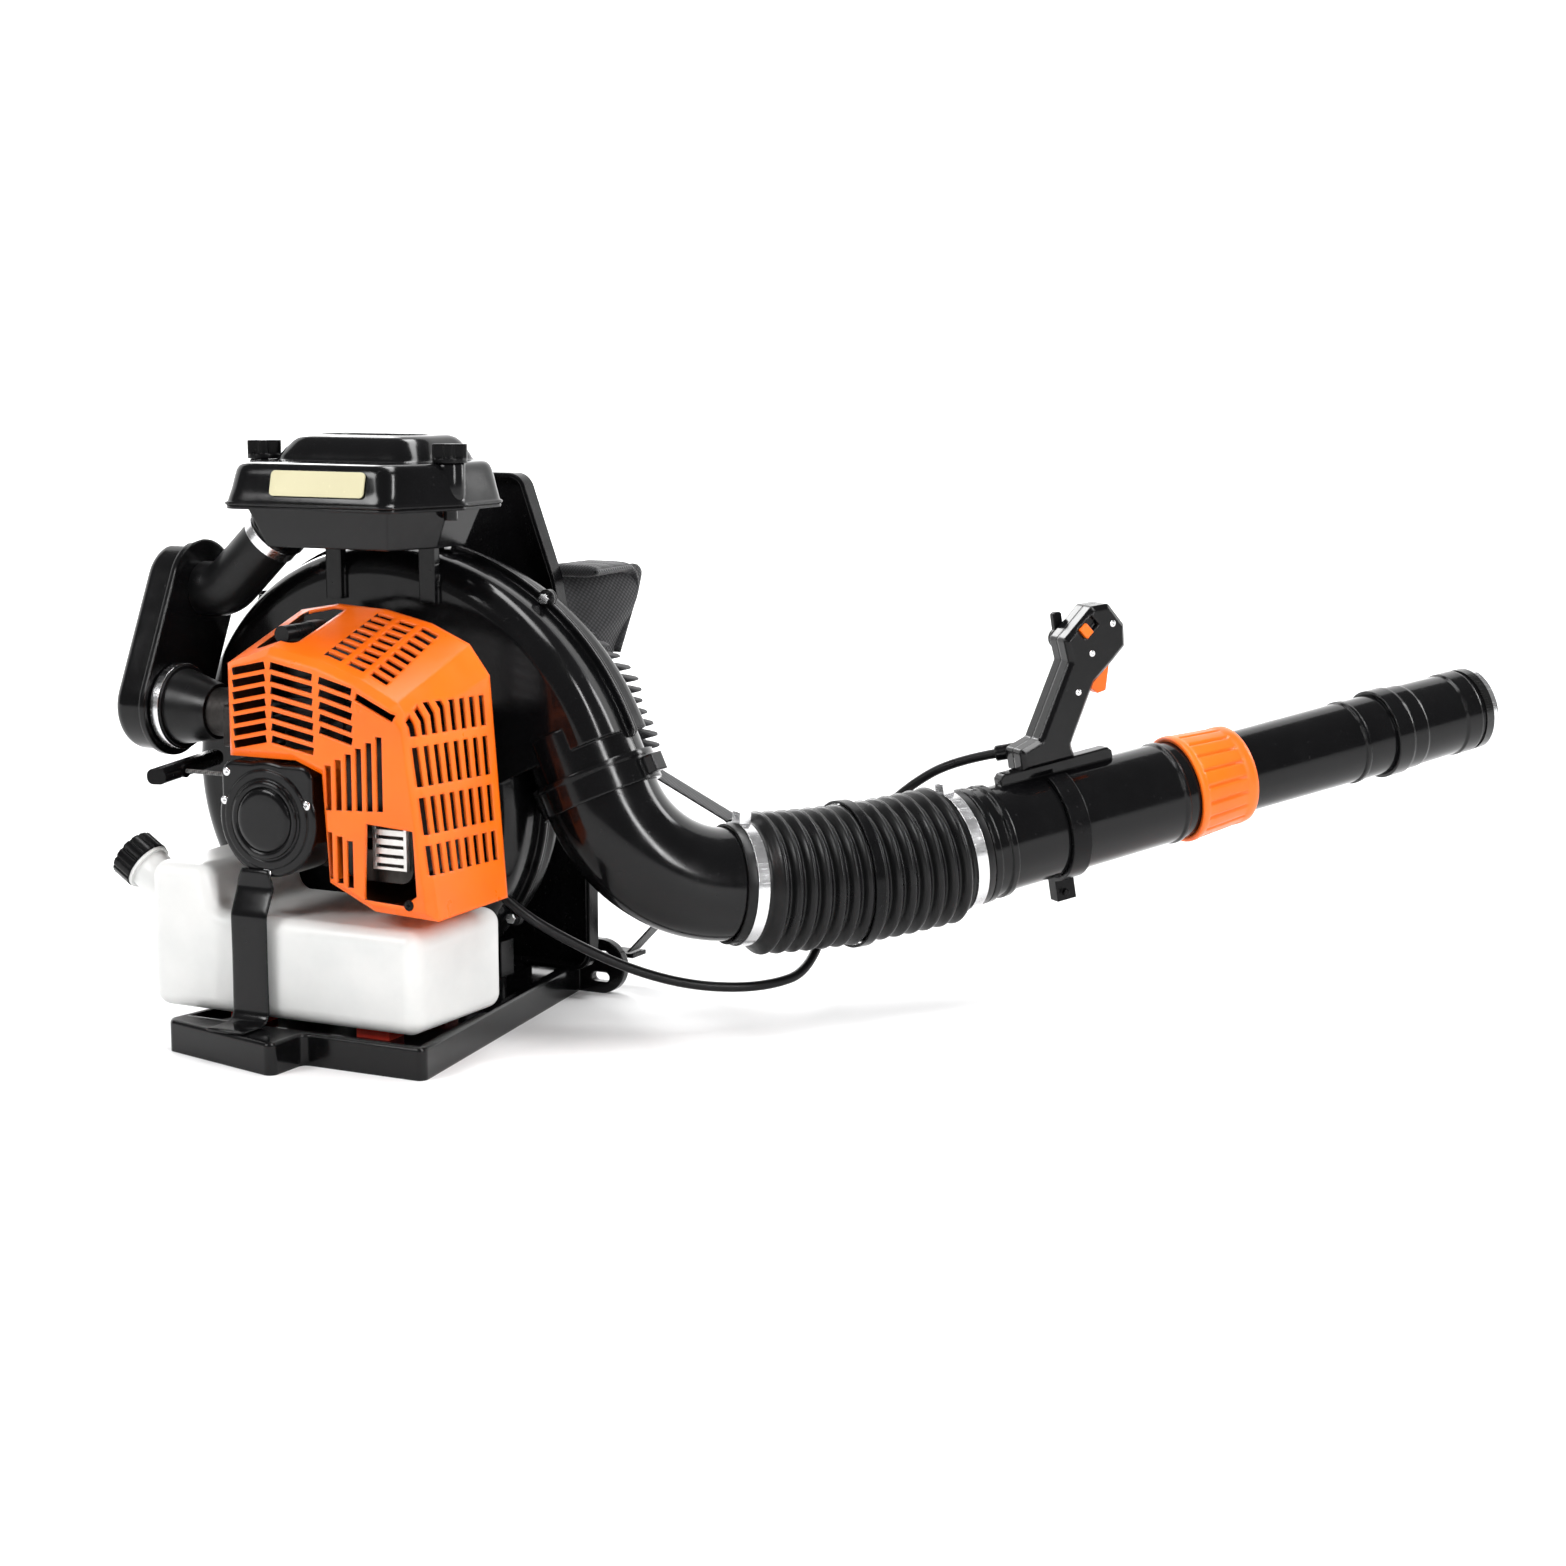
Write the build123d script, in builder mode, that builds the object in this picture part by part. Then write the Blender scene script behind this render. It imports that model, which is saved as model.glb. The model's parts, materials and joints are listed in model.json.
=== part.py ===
from build123d import *

import os
from math import acos, atan2, cos, degrees, radians, sin, tan

# Backpack leaf blower: engine, fan housing, fuel tank, backrest, air cleaner, hose, tube and control handle.
# Millimetres.  +Z is up, -Y is the engine side, +Y is the wearer's side, and the blow tube leaves on +X.
# The origin is the centre of the base plate's underside.

os.makedirs("parts", exist_ok=True)

# ---------------------------------------------------------------- driving dimensions
wall = 3.0                       # moulded housings
touch = 0.3                      # soft or moving pieces beside their neighbours
slip = 0.05                      # radial clearance of a running fit
bolt_radius = 2.5

# base plate
base_right = 130.0
base_left = -132.0
base_front = -165.0
base_rear = 193.0
base_rear_half = 70.0
base_height = 28.0
base_floor = 22.0
base_rim = 8.0
base_corner = 7.0
toe_front = -210.0
toe_right = 6.0
toe_left = -126.0
toe_left_front = -178.0
lug_x = 95.0
lug_radius = 26.0
lug_thickness = 9.0

# crank axis, which runs front to rear
crank_x = -40.0
crank_z = 207.0
shaft_radius = 8.0
shaft_front = -99.0

# fan housing: a scroll of tangent arcs that opens clockwise from the base round to the outlet
scroll_bottom = 170.0
scroll_left = 197.0
scroll_top = 225.0
scroll_depth = 96.0
scroll_round = 24.0
left_arc = 186.0
tongue_step = 18.0
flange_reach = 7.0
flange_thickness = 3.0
ear_radius = 8.0
inlet_radius = 84.0
foot_bottom = 34.0
foot_x = -10.0
foot_width = 34.0
foot_depth = 22.0
foot_spread = 52.0
foot_gap = 30.0
isolator_radius = 13.0

# impeller
fan_radius = 142.0
fan_hub = 17.0
fan_gap = 6.0                    # back plate to the housing wall
fan_depth = 62.0
fan_blades = 14
blade_thickness = 2.5
blade_root = 64.0

# outlet neck of the fan housing
outlet_tilt = 25.0               # from straight down towards +X
outlet_end_x = 172.5
outlet_end_z = 230.0
neck_length = 48.0
pipe_radius = 51.0
cuff_before = 8.0
cuff_after = 19.0
collar_wall = 5.0

# hose and tube, which leave in one upright plane
hose_azimuth = 52.0
elbow_exit_pitch = -3.0
elbow_lead = 102.5               # outlet to the elbow's corner, along its axis
elbow_tail = 97.0
elbow_bend = 114.0
hose_chord = 219.0
tube_pitch = 9.75
bellows_ribs = 14
bellows_crest = 65.0
bellows_root = 57.0
bellows_bore = 52.0
cuff_length = 25.0
cuff_insert = 14.0               # how far a pipe reaches into its cuff
cuff_wall = 3.0
band_width = 11.0
band_wall = 1.6
clip_width = 10.0
eye_length = 16.0
eye_reach = 77.0
eye_angle = -45.0
eye_direction = (-0.118, 0.718, 0.686)

# blow tube, stations along its axis from the rear clamp of the swivel tube
swivel_radius = 52.0
swivel_waist = 50.0
swivel_mouth = 47.5
swivel_end = 262.0
collar_start = 244.0
collar_length = 66.0
collar_rear = 52.0
collar_front = 47.0
tube_radius = 40.0
tube_wall = 2.2
tube_start = 170.0
tube_end = 500.0
tube_ring = 442.0
nozzle_start = 479.0
nozzle_end = 603.0
rail_start = 56.0
rail_end = 177.0
rail_top = 60.0
rail_width = 14.0

# control handle, stations as for the tube and heights above its axis
handle_clamp_start = 98.0
handle_clamp_end = 118.0
handle_thickness = 34.0
trigger_width = 11.0
rail_root = 46.0
pivot_station = 166.0
pivot_height = 143.0
pivot_radius = 2.5
switch_station = 164.0
switch_height = 179.0
switch_travel = 9.0
cruise_station = 152.0
cruise_height = 168.0
handle_lean = 34.0

# fuel tank
tank_left = -168.0
tank_right = 113.0
tank_front = -150.0
tank_rear = -12.0
tank_bottom = 31.0
tank_top = 121.0
tank_shoulder_top = 161.0
tank_shoulder_right = -97.0
tank_round = 14.0
filler_tilt = 33.0
filler_radius = 19.0
filler_bore = 15.0
filler_x = -160.0
filler_y = -110.0
filler_z = 120.0
filler_length = 64.0
cap_radius = 23.0
cap_length = 20.0
cap_start = 50.0
guard_left = -73.0
guard_right = -33.0
guard_thickness = 3.0
guard_toe_y = -196.0
guard_face_y = -158.0
guard_neck_z = 146.0
guard_top_z = 163.0

# engine
bore_y = -72.0                   # cylinder axis
cylinder_bottom = 246.0
cylinder_top = 334.0
cylinder_radius = 27.0
fin_half = 29.0
fin_pitch = 9.0
fin_thickness = 2.5
crankcase_front = -95.0
crankcase_radius = 38.0
plug_top = 372.0
exhaust_reach = 41.0
intake_reach = 35.0
muffler_left = 34.0
muffler_right = 102.0
muffler_front = -134.0
muffler_rear = -54.0
muffler_bottom = 160.0
muffler_top = 285.0
port_z = 276.0

# engine shroud
shroud_front = -150.0
shroud_rear = -45.0
shroud_bevel = 7.0
shroud_wall = 2.6
slot_height = 6.5
slot_pitch = 10.5
rib_foot_x = 24.0                # lower end of the slanted rib across the front
rib_foot_z = 253.0
rib_tilt = 31.0

# recoil starter
starter_front = -146.0
starter_rear = -102.0
starter_radius = 51.0
starter_left = -88.0
starter_right = 8.0
starter_top = 256.0
starter_wall = 2.6
ring_radius = 43.0
disc_radius = 36.0
pulley_radius = 34.0
pin_radius = 5.0
rope_radius = 1.9
rope_y = -110.0
rope_z = 236.5
grip_x = -170.0
grip_radius = 8.0
grip_length = 122.0
grip_turn = 13.5                 # of the bar, out of the front-to-rear line

# intake side
duct_face_x = -203.0
duct_depth = 40.0
boot_y = -61.0
boot_z = 286.5
pipe_y = -14.0
pipe_z = 389.0
duct_radius = 41.0
pipe_end_z = 444.0
intake_radius = 25.0
carburettor_left = -150.0
carburettor_right = -82.0

# air cleaner
cleaner_x = -15.5
tub_bottom = 436.0
rim_z = 473.0
cover_height = 59.0
cover_top = rim_z + cover_height
deck_z = rim_z + 37
plate_z = rim_z + 20
filter_width = 158.0
filter_depth = 130.0
filter_height = 28.0
knob_half = 98.0
knob_y = -38.0
knob_radius = 15.0
knob_stem = 3.5
tub_inset = 18.0
tub_left = -104.0
leg_bottom = 385.0
leg_half = 50.0

# backrest
frame_x = -15.0
frame_front = 150.0
frame_back = 166.0
frame_bottom = 28.0
frame_top = 492.0
frame_wall = 4.0
frame_half = 119.0
frame_waist_z = 225.0
shoulder_half = 85.0
shoulder_z = 395.0
neck_half = 50.0
frame_window_z = 270.0
frame_window_half = 42.0
frame_window_height = 60.0
frame_foot_half = 45.0
frame_foot_depth = 40.0
upper_spread = 62.0
upper_z = 336.0
pad_back = 204.0
pad_top = 380.0
pad_bottom = 165.0
strap_half = frame_half - 29
strap_top = 402.0
strap_reach = 96.0
strap_end_y = 217.0
strap_end_z = 322.0
webbing_top_z = 315.0
loop_half = 240.0
loop_z = 170.0
loop_inset = 2.07                # the rounding of the loop draws it in
strap_width = 60.0
strap_thickness = 12.0
webbing_width = 25.0
webbing_thickness = 2.0
hook_z = 31.8
hook_thickness = 4.0

# throttle cable
cable_radius = 4.5
gland_radius = 7.5
volute_gland = Vector(92, -8, 142)
volute_gland_way = Vector(28, -4, -20).normalized()
grip_gland = Vector(425, 361, 229)
grip_gland_way = Vector(41, 7, 9).normalized()


def direction(azimuth, pitch):
    """Unit vector at an azimuth from +X towards +Y and a pitch above the floor."""
    flat = cos(radians(pitch))
    return Vector(flat * cos(radians(azimuth)), flat * sin(radians(azimuth)), sin(radians(pitch)))


def save(part, label):
    """Name a finished piece and write it."""
    part.label = label
    export_step(part, f"parts/{label}.step")


# ---------------------------------------------------------------- base plate
with BuildPart() as base_plate:
    with BuildSketch() as base_outline:
        with BuildLine():
            Polyline(
                (base_right, base_front),
                (base_rear_half, base_rear),
                (-base_rear_half, base_rear),
                (base_left, toe_left_front + base_rim),
                (toe_left, toe_left_front),
                (toe_right, toe_front),
                (toe_right, base_front),
                close=True,
            )
        make_face()
        fillet(base_outline.vertices(), radius=base_corner)
    extrude(amount=base_height)
    with BuildSketch(Plane.XY.offset(base_floor)):
        offset(base_outline.sketch, amount=-base_rim)
        with Locations((0, base_front + base_rim)):
            Rectangle(4 * base_right, 4 * base_rear, align=(Align.CENTER, Align.MIN), mode=Mode.INTERSECT)
    extrude(amount=base_height, mode=Mode.SUBTRACT)
    with BuildSketch():
        offset(base_outline.sketch, amount=-base_rim)
        Rectangle(3 * base_right, 2 * wall, mode=Mode.SUBTRACT)
        Rectangle(2 * wall, 3 * base_rear, mode=Mode.SUBTRACT)
    extrude(amount=base_floor - 2 * wall, mode=Mode.SUBTRACT)
    fillet(base_plate.faces().sort_by(Axis.Z)[-1].outer_wire().edges(), radius=wall)
    with BuildSketch(Plane.XZ.offset(-base_rear)):
        for side in (-1, 1):
            with Locations((side * lug_x, lug_radius)):
                Circle(lug_radius)
            with Locations((side * (lug_x - lug_radius), lug_radius)):
                Rectangle(2 * lug_radius, 2 * lug_radius)
        for side in (-1, 1):
            with Locations((side * lug_x, lug_radius * 1.4), (side * lug_x, lug_radius * 0.6)):
                SlotOverall(lug_radius * 0.75, lug_radius * 0.36, mode=Mode.SUBTRACT)
    extrude(amount=lug_thickness)
save(base_plate.part, "base_plate")


# ---------------------------------------------------------------- fan housing
# Centres and radii of the scroll's arcs, each tangent to the next where they meet.
outlet_normal = Vector(cos(radians(outlet_tilt)), sin(radians(outlet_tilt)))
outlet_down = Vector(sin(radians(outlet_tilt)), -cos(radians(outlet_tilt)))
outlet_end = Vector(outlet_end_x, outlet_end_z)
crank = Vector(crank_x, crank_z)
mid_depth = scroll_depth / 2
neck_reach = (outlet_end - crank).dot(outlet_normal)
left_centre = Vector(crank_x - scroll_left + left_arc, crank_z - scroll_bottom + left_arc)
start_arc = left_arc - tongue_step
start_centre = left_centre - Vector(0, tongue_step)
top_arc = scroll_top + scroll_bottom - left_arc
top_centre = left_centre + Vector(top_arc - left_arc, 0)
top_reach = (top_centre - crank).dot(outlet_normal) + top_arc
outer_growth = (neck_reach + pipe_radius - top_reach) / (1 - sin(radians(outlet_tilt)))
outer_arc = top_arc + outer_growth
outer_centre = top_centre - Vector(0, outer_growth)
tongue_reach = neck_reach - pipe_radius - (start_centre - crank).dot(outlet_normal)
tongue_angle = outlet_tilt - degrees(acos(tongue_reach / start_arc))


def polar(centre, radius, angle):
    """Point at a radius and an angle round a centre in the XZ plane."""
    return centre + Vector(cos(radians(angle)), sin(radians(angle))) * radius


def scroll_outline(inset):
    """Closed face of the scroll in the XZ plane, drawn smaller by the inset."""
    end_angle = tongue_angle + degrees(inset / start_arc)
    tongue = polar(start_centre, start_arc - inset, end_angle)
    shoulder = polar(outer_centre, outer_arc - inset, outlet_tilt)
    foot = shoulder + outlet_down * (tongue - shoulder).dot(outlet_down)
    with BuildSketch() as face:
        with BuildLine():
            CenterArc(start_centre, start_arc - inset, -90, 90 + end_angle)
            CenterArc(left_centre, left_arc - inset, 180, 90)
            CenterArc(top_centre, top_arc - inset, 90, 90)
            CenterArc(outer_centre, outer_arc - inset, outlet_tilt, 90 - outlet_tilt)
            Line(shoulder, foot)
            Line(foot, tongue)
        make_face()
    return face.sketch


neck_face = Plane(
    origin=(outlet_end_x, mid_depth, outlet_end_z), z_dir=(-outlet_down.X, 0, -outlet_down.Y)
)


def scroll_body(inset):
    """Rounded scroll with its round outlet neck, drawn smaller by the inset."""
    outline = scroll_outline(inset)
    with BuildPart() as body:
        with BuildSketch(Plane.XZ.offset(-inset)):
            add(outline)
        extrude(amount=2 * inset - scroll_depth)
        fillet(body.edges().filter_by(GeomType.CIRCLE), radius=scroll_round - inset)
        with BuildSketch(neck_face.offset(-inset)):
            Circle(pipe_radius - inset)
        extrude(amount=neck_length + inset)
    return body.part


ear_places = [
    polar(centre, radius + ear_radius - wall / 2, angle)
    for centre, radius, angles in (
        (left_centre, left_arc, (188, 215, 245)),
        (top_centre, top_arc, (162, 135, 108)),
        (outer_centre, outer_arc, (78, 54)),
        (start_centre, start_arc, (-68, -38)),
    )
    for angle in angles
]


def housing_half(front):
    """One half of the fan housing, split at its flange."""
    outline = scroll_outline(0)
    outside = scroll_body(0)
    cavity = scroll_body(wall)
    with BuildPart() as half:
        add(outside)
        with BuildSketch(Plane.XZ.offset(-mid_depth)):
            offset(outline, amount=flange_reach)
            with Locations(*ear_places):
                Circle(ear_radius)
        extrude(amount=flange_thickness, both=True)
        with BuildSketch(Plane.XY.offset(foot_bottom)):
            with Locations((foot_x, mid_depth)):
                with GridLocations(2 * foot_spread, 2 * foot_gap, 2, 2):
                    Rectangle(foot_width, foot_depth)
        extrude(amount=foot_width)
        with BuildSketch(neck_face.offset(cuff_before + touch)):
            Circle(pipe_radius + slip + collar_wall + touch + 1)
            Circle(pipe_radius, mode=Mode.SUBTRACT)
        extrude(amount=-cuff_before - 2 * cuff_after, mode=Mode.SUBTRACT)
        add(cavity, mode=Mode.SUBTRACT)
        with BuildSketch(Plane.XZ.offset(-mid_depth)):
            with Locations(*ear_places):
                Circle(bolt_radius + slip)
        extrude(amount=2 * flange_thickness, both=True, mode=Mode.SUBTRACT)
        split(bisect_by=Plane.XZ.offset(-mid_depth), keep=Keep.TOP if front else Keep.BOTTOM)
    return half.part


front_half = housing_half(True)
rear_half = housing_half(False)

with BuildPart() as volute_front:
    add(front_half)
    with BuildSketch(Plane.XZ.offset(-wall)):
        with Locations((cleaner_x - leg_half, leg_bottom), (cleaner_x + leg_half, leg_bottom)):
            Rectangle(16, tub_bottom - leg_bottom, align=(Align.CENTER, Align.MIN))
    extrude(amount=3 * wall)
    with BuildSketch(Plane.XZ):
        with Locations(crank):
            Circle(shaft_radius + wall)
    extrude(amount=-2 * wall, mode=Mode.SUBTRACT)
    with BuildSketch(Plane(origin=volute_gland, z_dir=-volute_gland_way)):
        Circle(gland_radius)
    extrude(amount=24)
    with BuildSketch(Plane.XZ):
        with Locations((volute_gland.X - 18, volute_gland.Z + 12)):
            Rectangle(14, 20)
    extrude(amount=14)
save(volute_front.part, "volute_front")

with BuildPart() as volute_rear:
    add(rear_half)
    with BuildSketch(Plane.XZ.offset(-scroll_depth)):
        with Locations(crank):
            Circle(inlet_radius + 3 * wall)
    extrude(amount=-wall)
    with BuildSketch(Plane.XZ.offset(-scroll_depth - wall)):
        with Locations(crank):
            with GridLocations(4 * inlet_radius, slot_pitch, 1, int(2 * inlet_radius / slot_pitch)):
                Rectangle(2 * inlet_radius, slot_height)
            Circle(inlet_radius, mode=Mode.INTERSECT)
        with Locations(crank):
            Rectangle(2 * wall, 3 * inlet_radius, mode=Mode.SUBTRACT)
    extrude(amount=3 * wall, mode=Mode.SUBTRACT)
save(volute_rear.part, "volute_rear")

with BuildPart() as case_screws:
    with BuildSketch(Plane.XZ.offset(flange_thickness - mid_depth)):
        with Locations(*ear_places):
            RegularPolygon(radius=2 * bolt_radius, side_count=6)
    extrude(amount=2 * bolt_radius)
    with BuildSketch(Plane.XZ.offset(flange_thickness - mid_depth)):
        with Locations(*ear_places):
            Circle(bolt_radius)
    extrude(amount=-2 * flange_thickness)
save(case_screws.part, "case_screws")

fan_front = wall + fan_gap
blade_middle = (blade_root + fan_radius) / 2
with BuildSketch() as blade:
    with BuildLine():
        ThreePointArc(
            (blade_root, 0),
            (blade_middle * cos(radians(9)), blade_middle * sin(radians(9))),
            (fan_radius * cos(radians(28)), fan_radius * sin(radians(28))),
        )
    trace(line_width=blade_thickness)
    Circle(fan_radius, mode=Mode.INTERSECT)

with BuildPart() as impeller:
    with BuildSketch(Plane.XZ.offset(-fan_front)):
        with Locations(crank):
            Circle(fan_radius)
    extrude(amount=-wall)
    with BuildSketch(Plane.XZ.offset(-fan_front)):
        with Locations(crank):
            Circle(fan_hub)
    extrude(amount=-fan_depth)
    with BuildSketch(Plane.XZ.offset(-fan_front - wall)):
        with Locations(crank):
            with PolarLocations(0, fan_blades):
                add(blade.sketch)
    extrude(amount=wall - fan_depth)
    with BuildSketch(Plane.XZ.offset(-fan_front)):
        with Locations(crank):
            Circle(shaft_radius)
    extrude(amount=-fan_depth, mode=Mode.SUBTRACT)
save(impeller.part, "impeller")

with BuildPart() as crankshaft:
    with BuildSketch(Plane.XZ.offset(-shaft_front)):
        with Locations(crank):
            Circle(shaft_radius)
    extrude(amount=shaft_front - fan_front - fan_depth)
    with BuildSketch(Plane.XZ.offset(-fan_front - fan_depth)):
        with Locations(crank):
            RegularPolygon(radius=1.4 * shaft_radius, side_count=6)
    extrude(amount=-2 * wall)
save(crankshaft.part, "crankshaft")

with BuildPart() as isolators:
    with BuildSketch(Plane.XY.offset(base_floor)):
        with Locations((foot_x, mid_depth)):
            with GridLocations(2 * foot_spread, 2 * foot_gap, 2, 2):
                Circle(isolator_radius)
    extrude(amount=foot_bottom - base_floor)
    with BuildSketch(Plane.XZ.offset(-scroll_depth)):
        with Locations((frame_x - upper_spread, upper_z), (frame_x + upper_spread, upper_z)):
            Circle(isolator_radius)
    extrude(amount=scroll_depth - frame_front)
save(isolators.part, "isolators")


# ---------------------------------------------------------------- backrest
with BuildSketch() as frame_outline:
    with BuildLine():
        Polyline(
            (frame_x + frame_half, frame_bottom),
            (frame_x + frame_half, frame_waist_z),
            (frame_x + shoulder_half, shoulder_z),
            (frame_x + neck_half, frame_top),
            (frame_x - neck_half, frame_top),
            (frame_x - shoulder_half, shoulder_z),
            (frame_x - frame_half, frame_waist_z),
            (frame_x - frame_half, frame_bottom),
            close=True,
        )
    make_face()
    fillet(frame_outline.vertices(), radius=18)

with BuildPart() as backrest_frame:
    with BuildSketch(Plane.XZ.offset(-frame_front)):
        add(frame_outline.sketch)
    extrude(amount=frame_front - frame_back)
    with BuildSketch(Plane.XZ.offset(-frame_front)):
        offset(frame_outline.sketch, amount=-frame_wall)
    extrude(amount=frame_front - frame_back + frame_wall, mode=Mode.SUBTRACT)
    with BuildSketch(Plane.XZ.offset(-frame_back)):
        with Locations((frame_x, frame_window_z)):
            RectangleRounded(2 * frame_window_half, frame_window_height, 18)
    extrude(amount=2 * frame_wall, mode=Mode.SUBTRACT)
    with BuildSketch(Plane.XZ.offset(-frame_front)):
        with Locations((frame_x - upper_spread, upper_z), (frame_x + upper_spread, upper_z)):
            Circle(isolator_radius + wall)
    extrude(amount=frame_front - frame_back)
    with BuildSketch(Plane.XY.offset(base_floor)):
        with Locations((frame_x, frame_back)):
            Rectangle(2 * frame_foot_half, frame_foot_depth, align=(Align.CENTER, Align.MAX))
    extrude(amount=frame_bottom - base_floor)
save(backrest_frame.part, "backrest_frame")

with BuildSketch() as pad_outline:
    with BuildLine():
        Polyline(
            (frame_x + 50, pad_top),
            (frame_x + 115, pad_top - 56),
            (frame_x + 166, pad_top - 126),
            (frame_x + 166, pad_top - 156),
            (frame_x + 120, pad_bottom),
            (frame_x - 120, pad_bottom),
            (frame_x - 166, pad_top - 156),
            (frame_x - 166, pad_top - 126),
            (frame_x - 115, pad_top - 56),
            (frame_x - 50, pad_top),
            close=True,
        )
    make_face()
    fillet(pad_outline.vertices(), radius=14)

with BuildPart() as back_pad:
    with BuildSketch(Plane.XZ.offset(-frame_back - touch)):
        add(pad_outline.sketch)
    extrude(amount=frame_back + touch - pad_back)
    chamfer(back_pad.faces().sort_by(Axis.Y)[-1].edges(), length=8)
save(back_pad.part, "back_pad")

webbing_front = pad_back + touch
for side, name in ((1, "right"), (-1, "left")):
    with BuildPart() as shoulder_strap:
        with BuildSketch(Plane.YZ.offset(frame_x + side * strap_half)):
            with BuildLine():
                FilletPolyline(
                    (frame_back + touch, strap_top),
                    (frame_back + strap_reach, strap_top),
                    (strap_end_y, strap_end_z),
                    radius=36,
                )
            trace(line_width=strap_thickness)
        extrude(amount=strap_width / 2, both=True)
    save(shoulder_strap.part, f"shoulder_strap_{name}")

    with BuildPart() as strap_webbing:
        with BuildSketch(Plane.XZ.offset(-webbing_front)):
            with BuildLine():
                FilletPolyline(
                    (frame_x + side * strap_half, webbing_top_z),
                    (frame_x + side * 151, 212),
                    (frame_x + side * loop_half, loop_z),
                    (frame_x + side * (loop_half - 8), loop_z - 24),
                    (side * (lug_x + 18), hook_z + hook_thickness + 1.6),
                    radius=9,
                )
            trace(line_width=webbing_thickness)
        extrude(amount=-webbing_width)
    save(strap_webbing.part, f"strap_webbing_{name}")

with BuildPart() as strap_buckles:
    for side in (-1, 1):
        edge = frame_x + side * (loop_half - loop_inset + webbing_thickness / 2 + touch)
        with BuildSketch(Plane.YZ.offset(edge)):
            with Locations((webbing_front + webbing_width / 2, loop_z - 8)):
                RectangleRounded(webbing_width + 10, 26, 3)
                with GridLocations(1, 11, 1, 2):
                    Rectangle(webbing_width + 1, 4, mode=Mode.SUBTRACT)
        extrude(amount=side * 4)
    # hooks that hold the lower ends of the webbing in the base plate's lugs
    for side in (-1, 1):
        with BuildSketch(Plane.XY.offset(hook_z)):
            with Locations((side * lug_x, base_rear + 2)):
                Rectangle(8, 2 * lug_thickness + 10)
            with Locations((side * (lug_x + 10), webbing_front + webbing_width / 2)):
                Rectangle(28, webbing_width)
        extrude(amount=hook_thickness)
save(strap_buckles.part, "strap_buckles")


# ---------------------------------------------------------------- fuel tank
def tank_body(inset):
    """Rounded tank drawn smaller by the inset, with a raised shoulder on the left."""
    with BuildPart() as body:
        with BuildSketch(Plane.XZ.offset(-tank_front - inset)) as profile:
            with BuildLine():
                Polyline(
                    (tank_left, tank_bottom),
                    (tank_right, tank_bottom),
                    (tank_right, tank_top),
                    (tank_shoulder_right, tank_top),
                    (tank_shoulder_right - 12, tank_shoulder_top),
                    (tank_left, tank_shoulder_top),
                    close=True,
                )
            make_face()
            fillet(profile.vertices(), radius=tank_round)
            if inset:
                offset(amount=-inset, mode=Mode.REPLACE)
        extrude(amount=tank_front - tank_rear + 2 * inset)
        ends = body.faces().filter_by(Axis.Y).edges()
        fillet(ends, radius=tank_round - inset - 1)
    return body.part


filler = Plane(
    origin=(filler_x, filler_y, filler_z),
    x_dir=(0, 1, 0),
    z_dir=(-cos(radians(filler_tilt)), 0, sin(radians(filler_tilt))),
)
tank_outside = tank_body(0)
tank_inside = tank_body(wall)
with BuildPart() as fuel_tank:
    add(tank_outside)
    with BuildSketch(filler):
        Circle(filler_radius)
    extrude(amount=filler_length)
    with BuildSketch(filler.offset(cap_start - 2 * touch)):
        Circle(cap_radius - 1)
    extrude(amount=-wall)
    add(tank_inside, mode=Mode.SUBTRACT)
    with BuildSketch(filler):
        Circle(filler_bore)
    extrude(amount=filler_length, mode=Mode.SUBTRACT)
save(fuel_tank.part, "fuel_tank")

with BuildPart() as fuel_cap:
    with BuildSketch(filler.offset(cap_start)):
        Circle(cap_radius)
        with PolarLocations(cap_radius, 14):
            Circle(1.6, mode=Mode.SUBTRACT)
    extrude(amount=cap_length)
    with BuildSketch(filler.offset(cap_start)):
        Circle(filler_radius + slip)
    extrude(amount=filler_length - cap_start + touch, mode=Mode.SUBTRACT)
    chamfer(fuel_cap.faces().sort_by(Axis(filler.origin, filler.z_dir))[-1].edges(), length=1)
save(fuel_cap.part, "fuel_cap")

with BuildPart() as tank_pads:
    with BuildSketch(Plane.XY.offset(base_floor)):
        with Locations((-10, (tank_front + tank_rear) / 2)):
            with GridLocations(134, 84, 2, 2):
                Rectangle(34, 22)
    extrude(amount=tank_bottom - base_floor)
save(tank_pads.part, "tank_pads")

with BuildPart() as tank_guard:
    with BuildSketch(Plane.YZ.offset(guard_left)):
        with BuildLine():
            FilletPolyline(
                (guard_toe_y, base_height + guard_thickness / 2),
                (guard_face_y, base_height + guard_thickness / 2),
                (guard_face_y, tank_top + 3),
                (starter_front - guard_thickness / 2, guard_neck_z),
                (starter_front - guard_thickness / 2, guard_top_z),
                radius=3,
            )
        trace(line_width=guard_thickness)
    extrude(amount=guard_right - guard_left)
    with BuildSketch(Plane.XZ.offset(-starter_front + 4 * guard_thickness)):
        with Locations((guard_left, guard_top_z + 1), (guard_right, guard_top_z + 1)):
            Rectangle(22, 2 * (guard_top_z - guard_neck_z), mode=Mode.ADD)
    extrude(amount=-8 * guard_thickness, mode=Mode.SUBTRACT)
    with BuildSketch(Plane.XZ.offset(-guard_face_y + guard_thickness)):
        with Locations(((guard_left + guard_right) / 2, 60)):
            SlotOverall(38, 16, rotation=90)
    extrude(amount=-2 * guard_thickness, mode=Mode.SUBTRACT)
save(tank_guard.part, "tank_guard")


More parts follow.
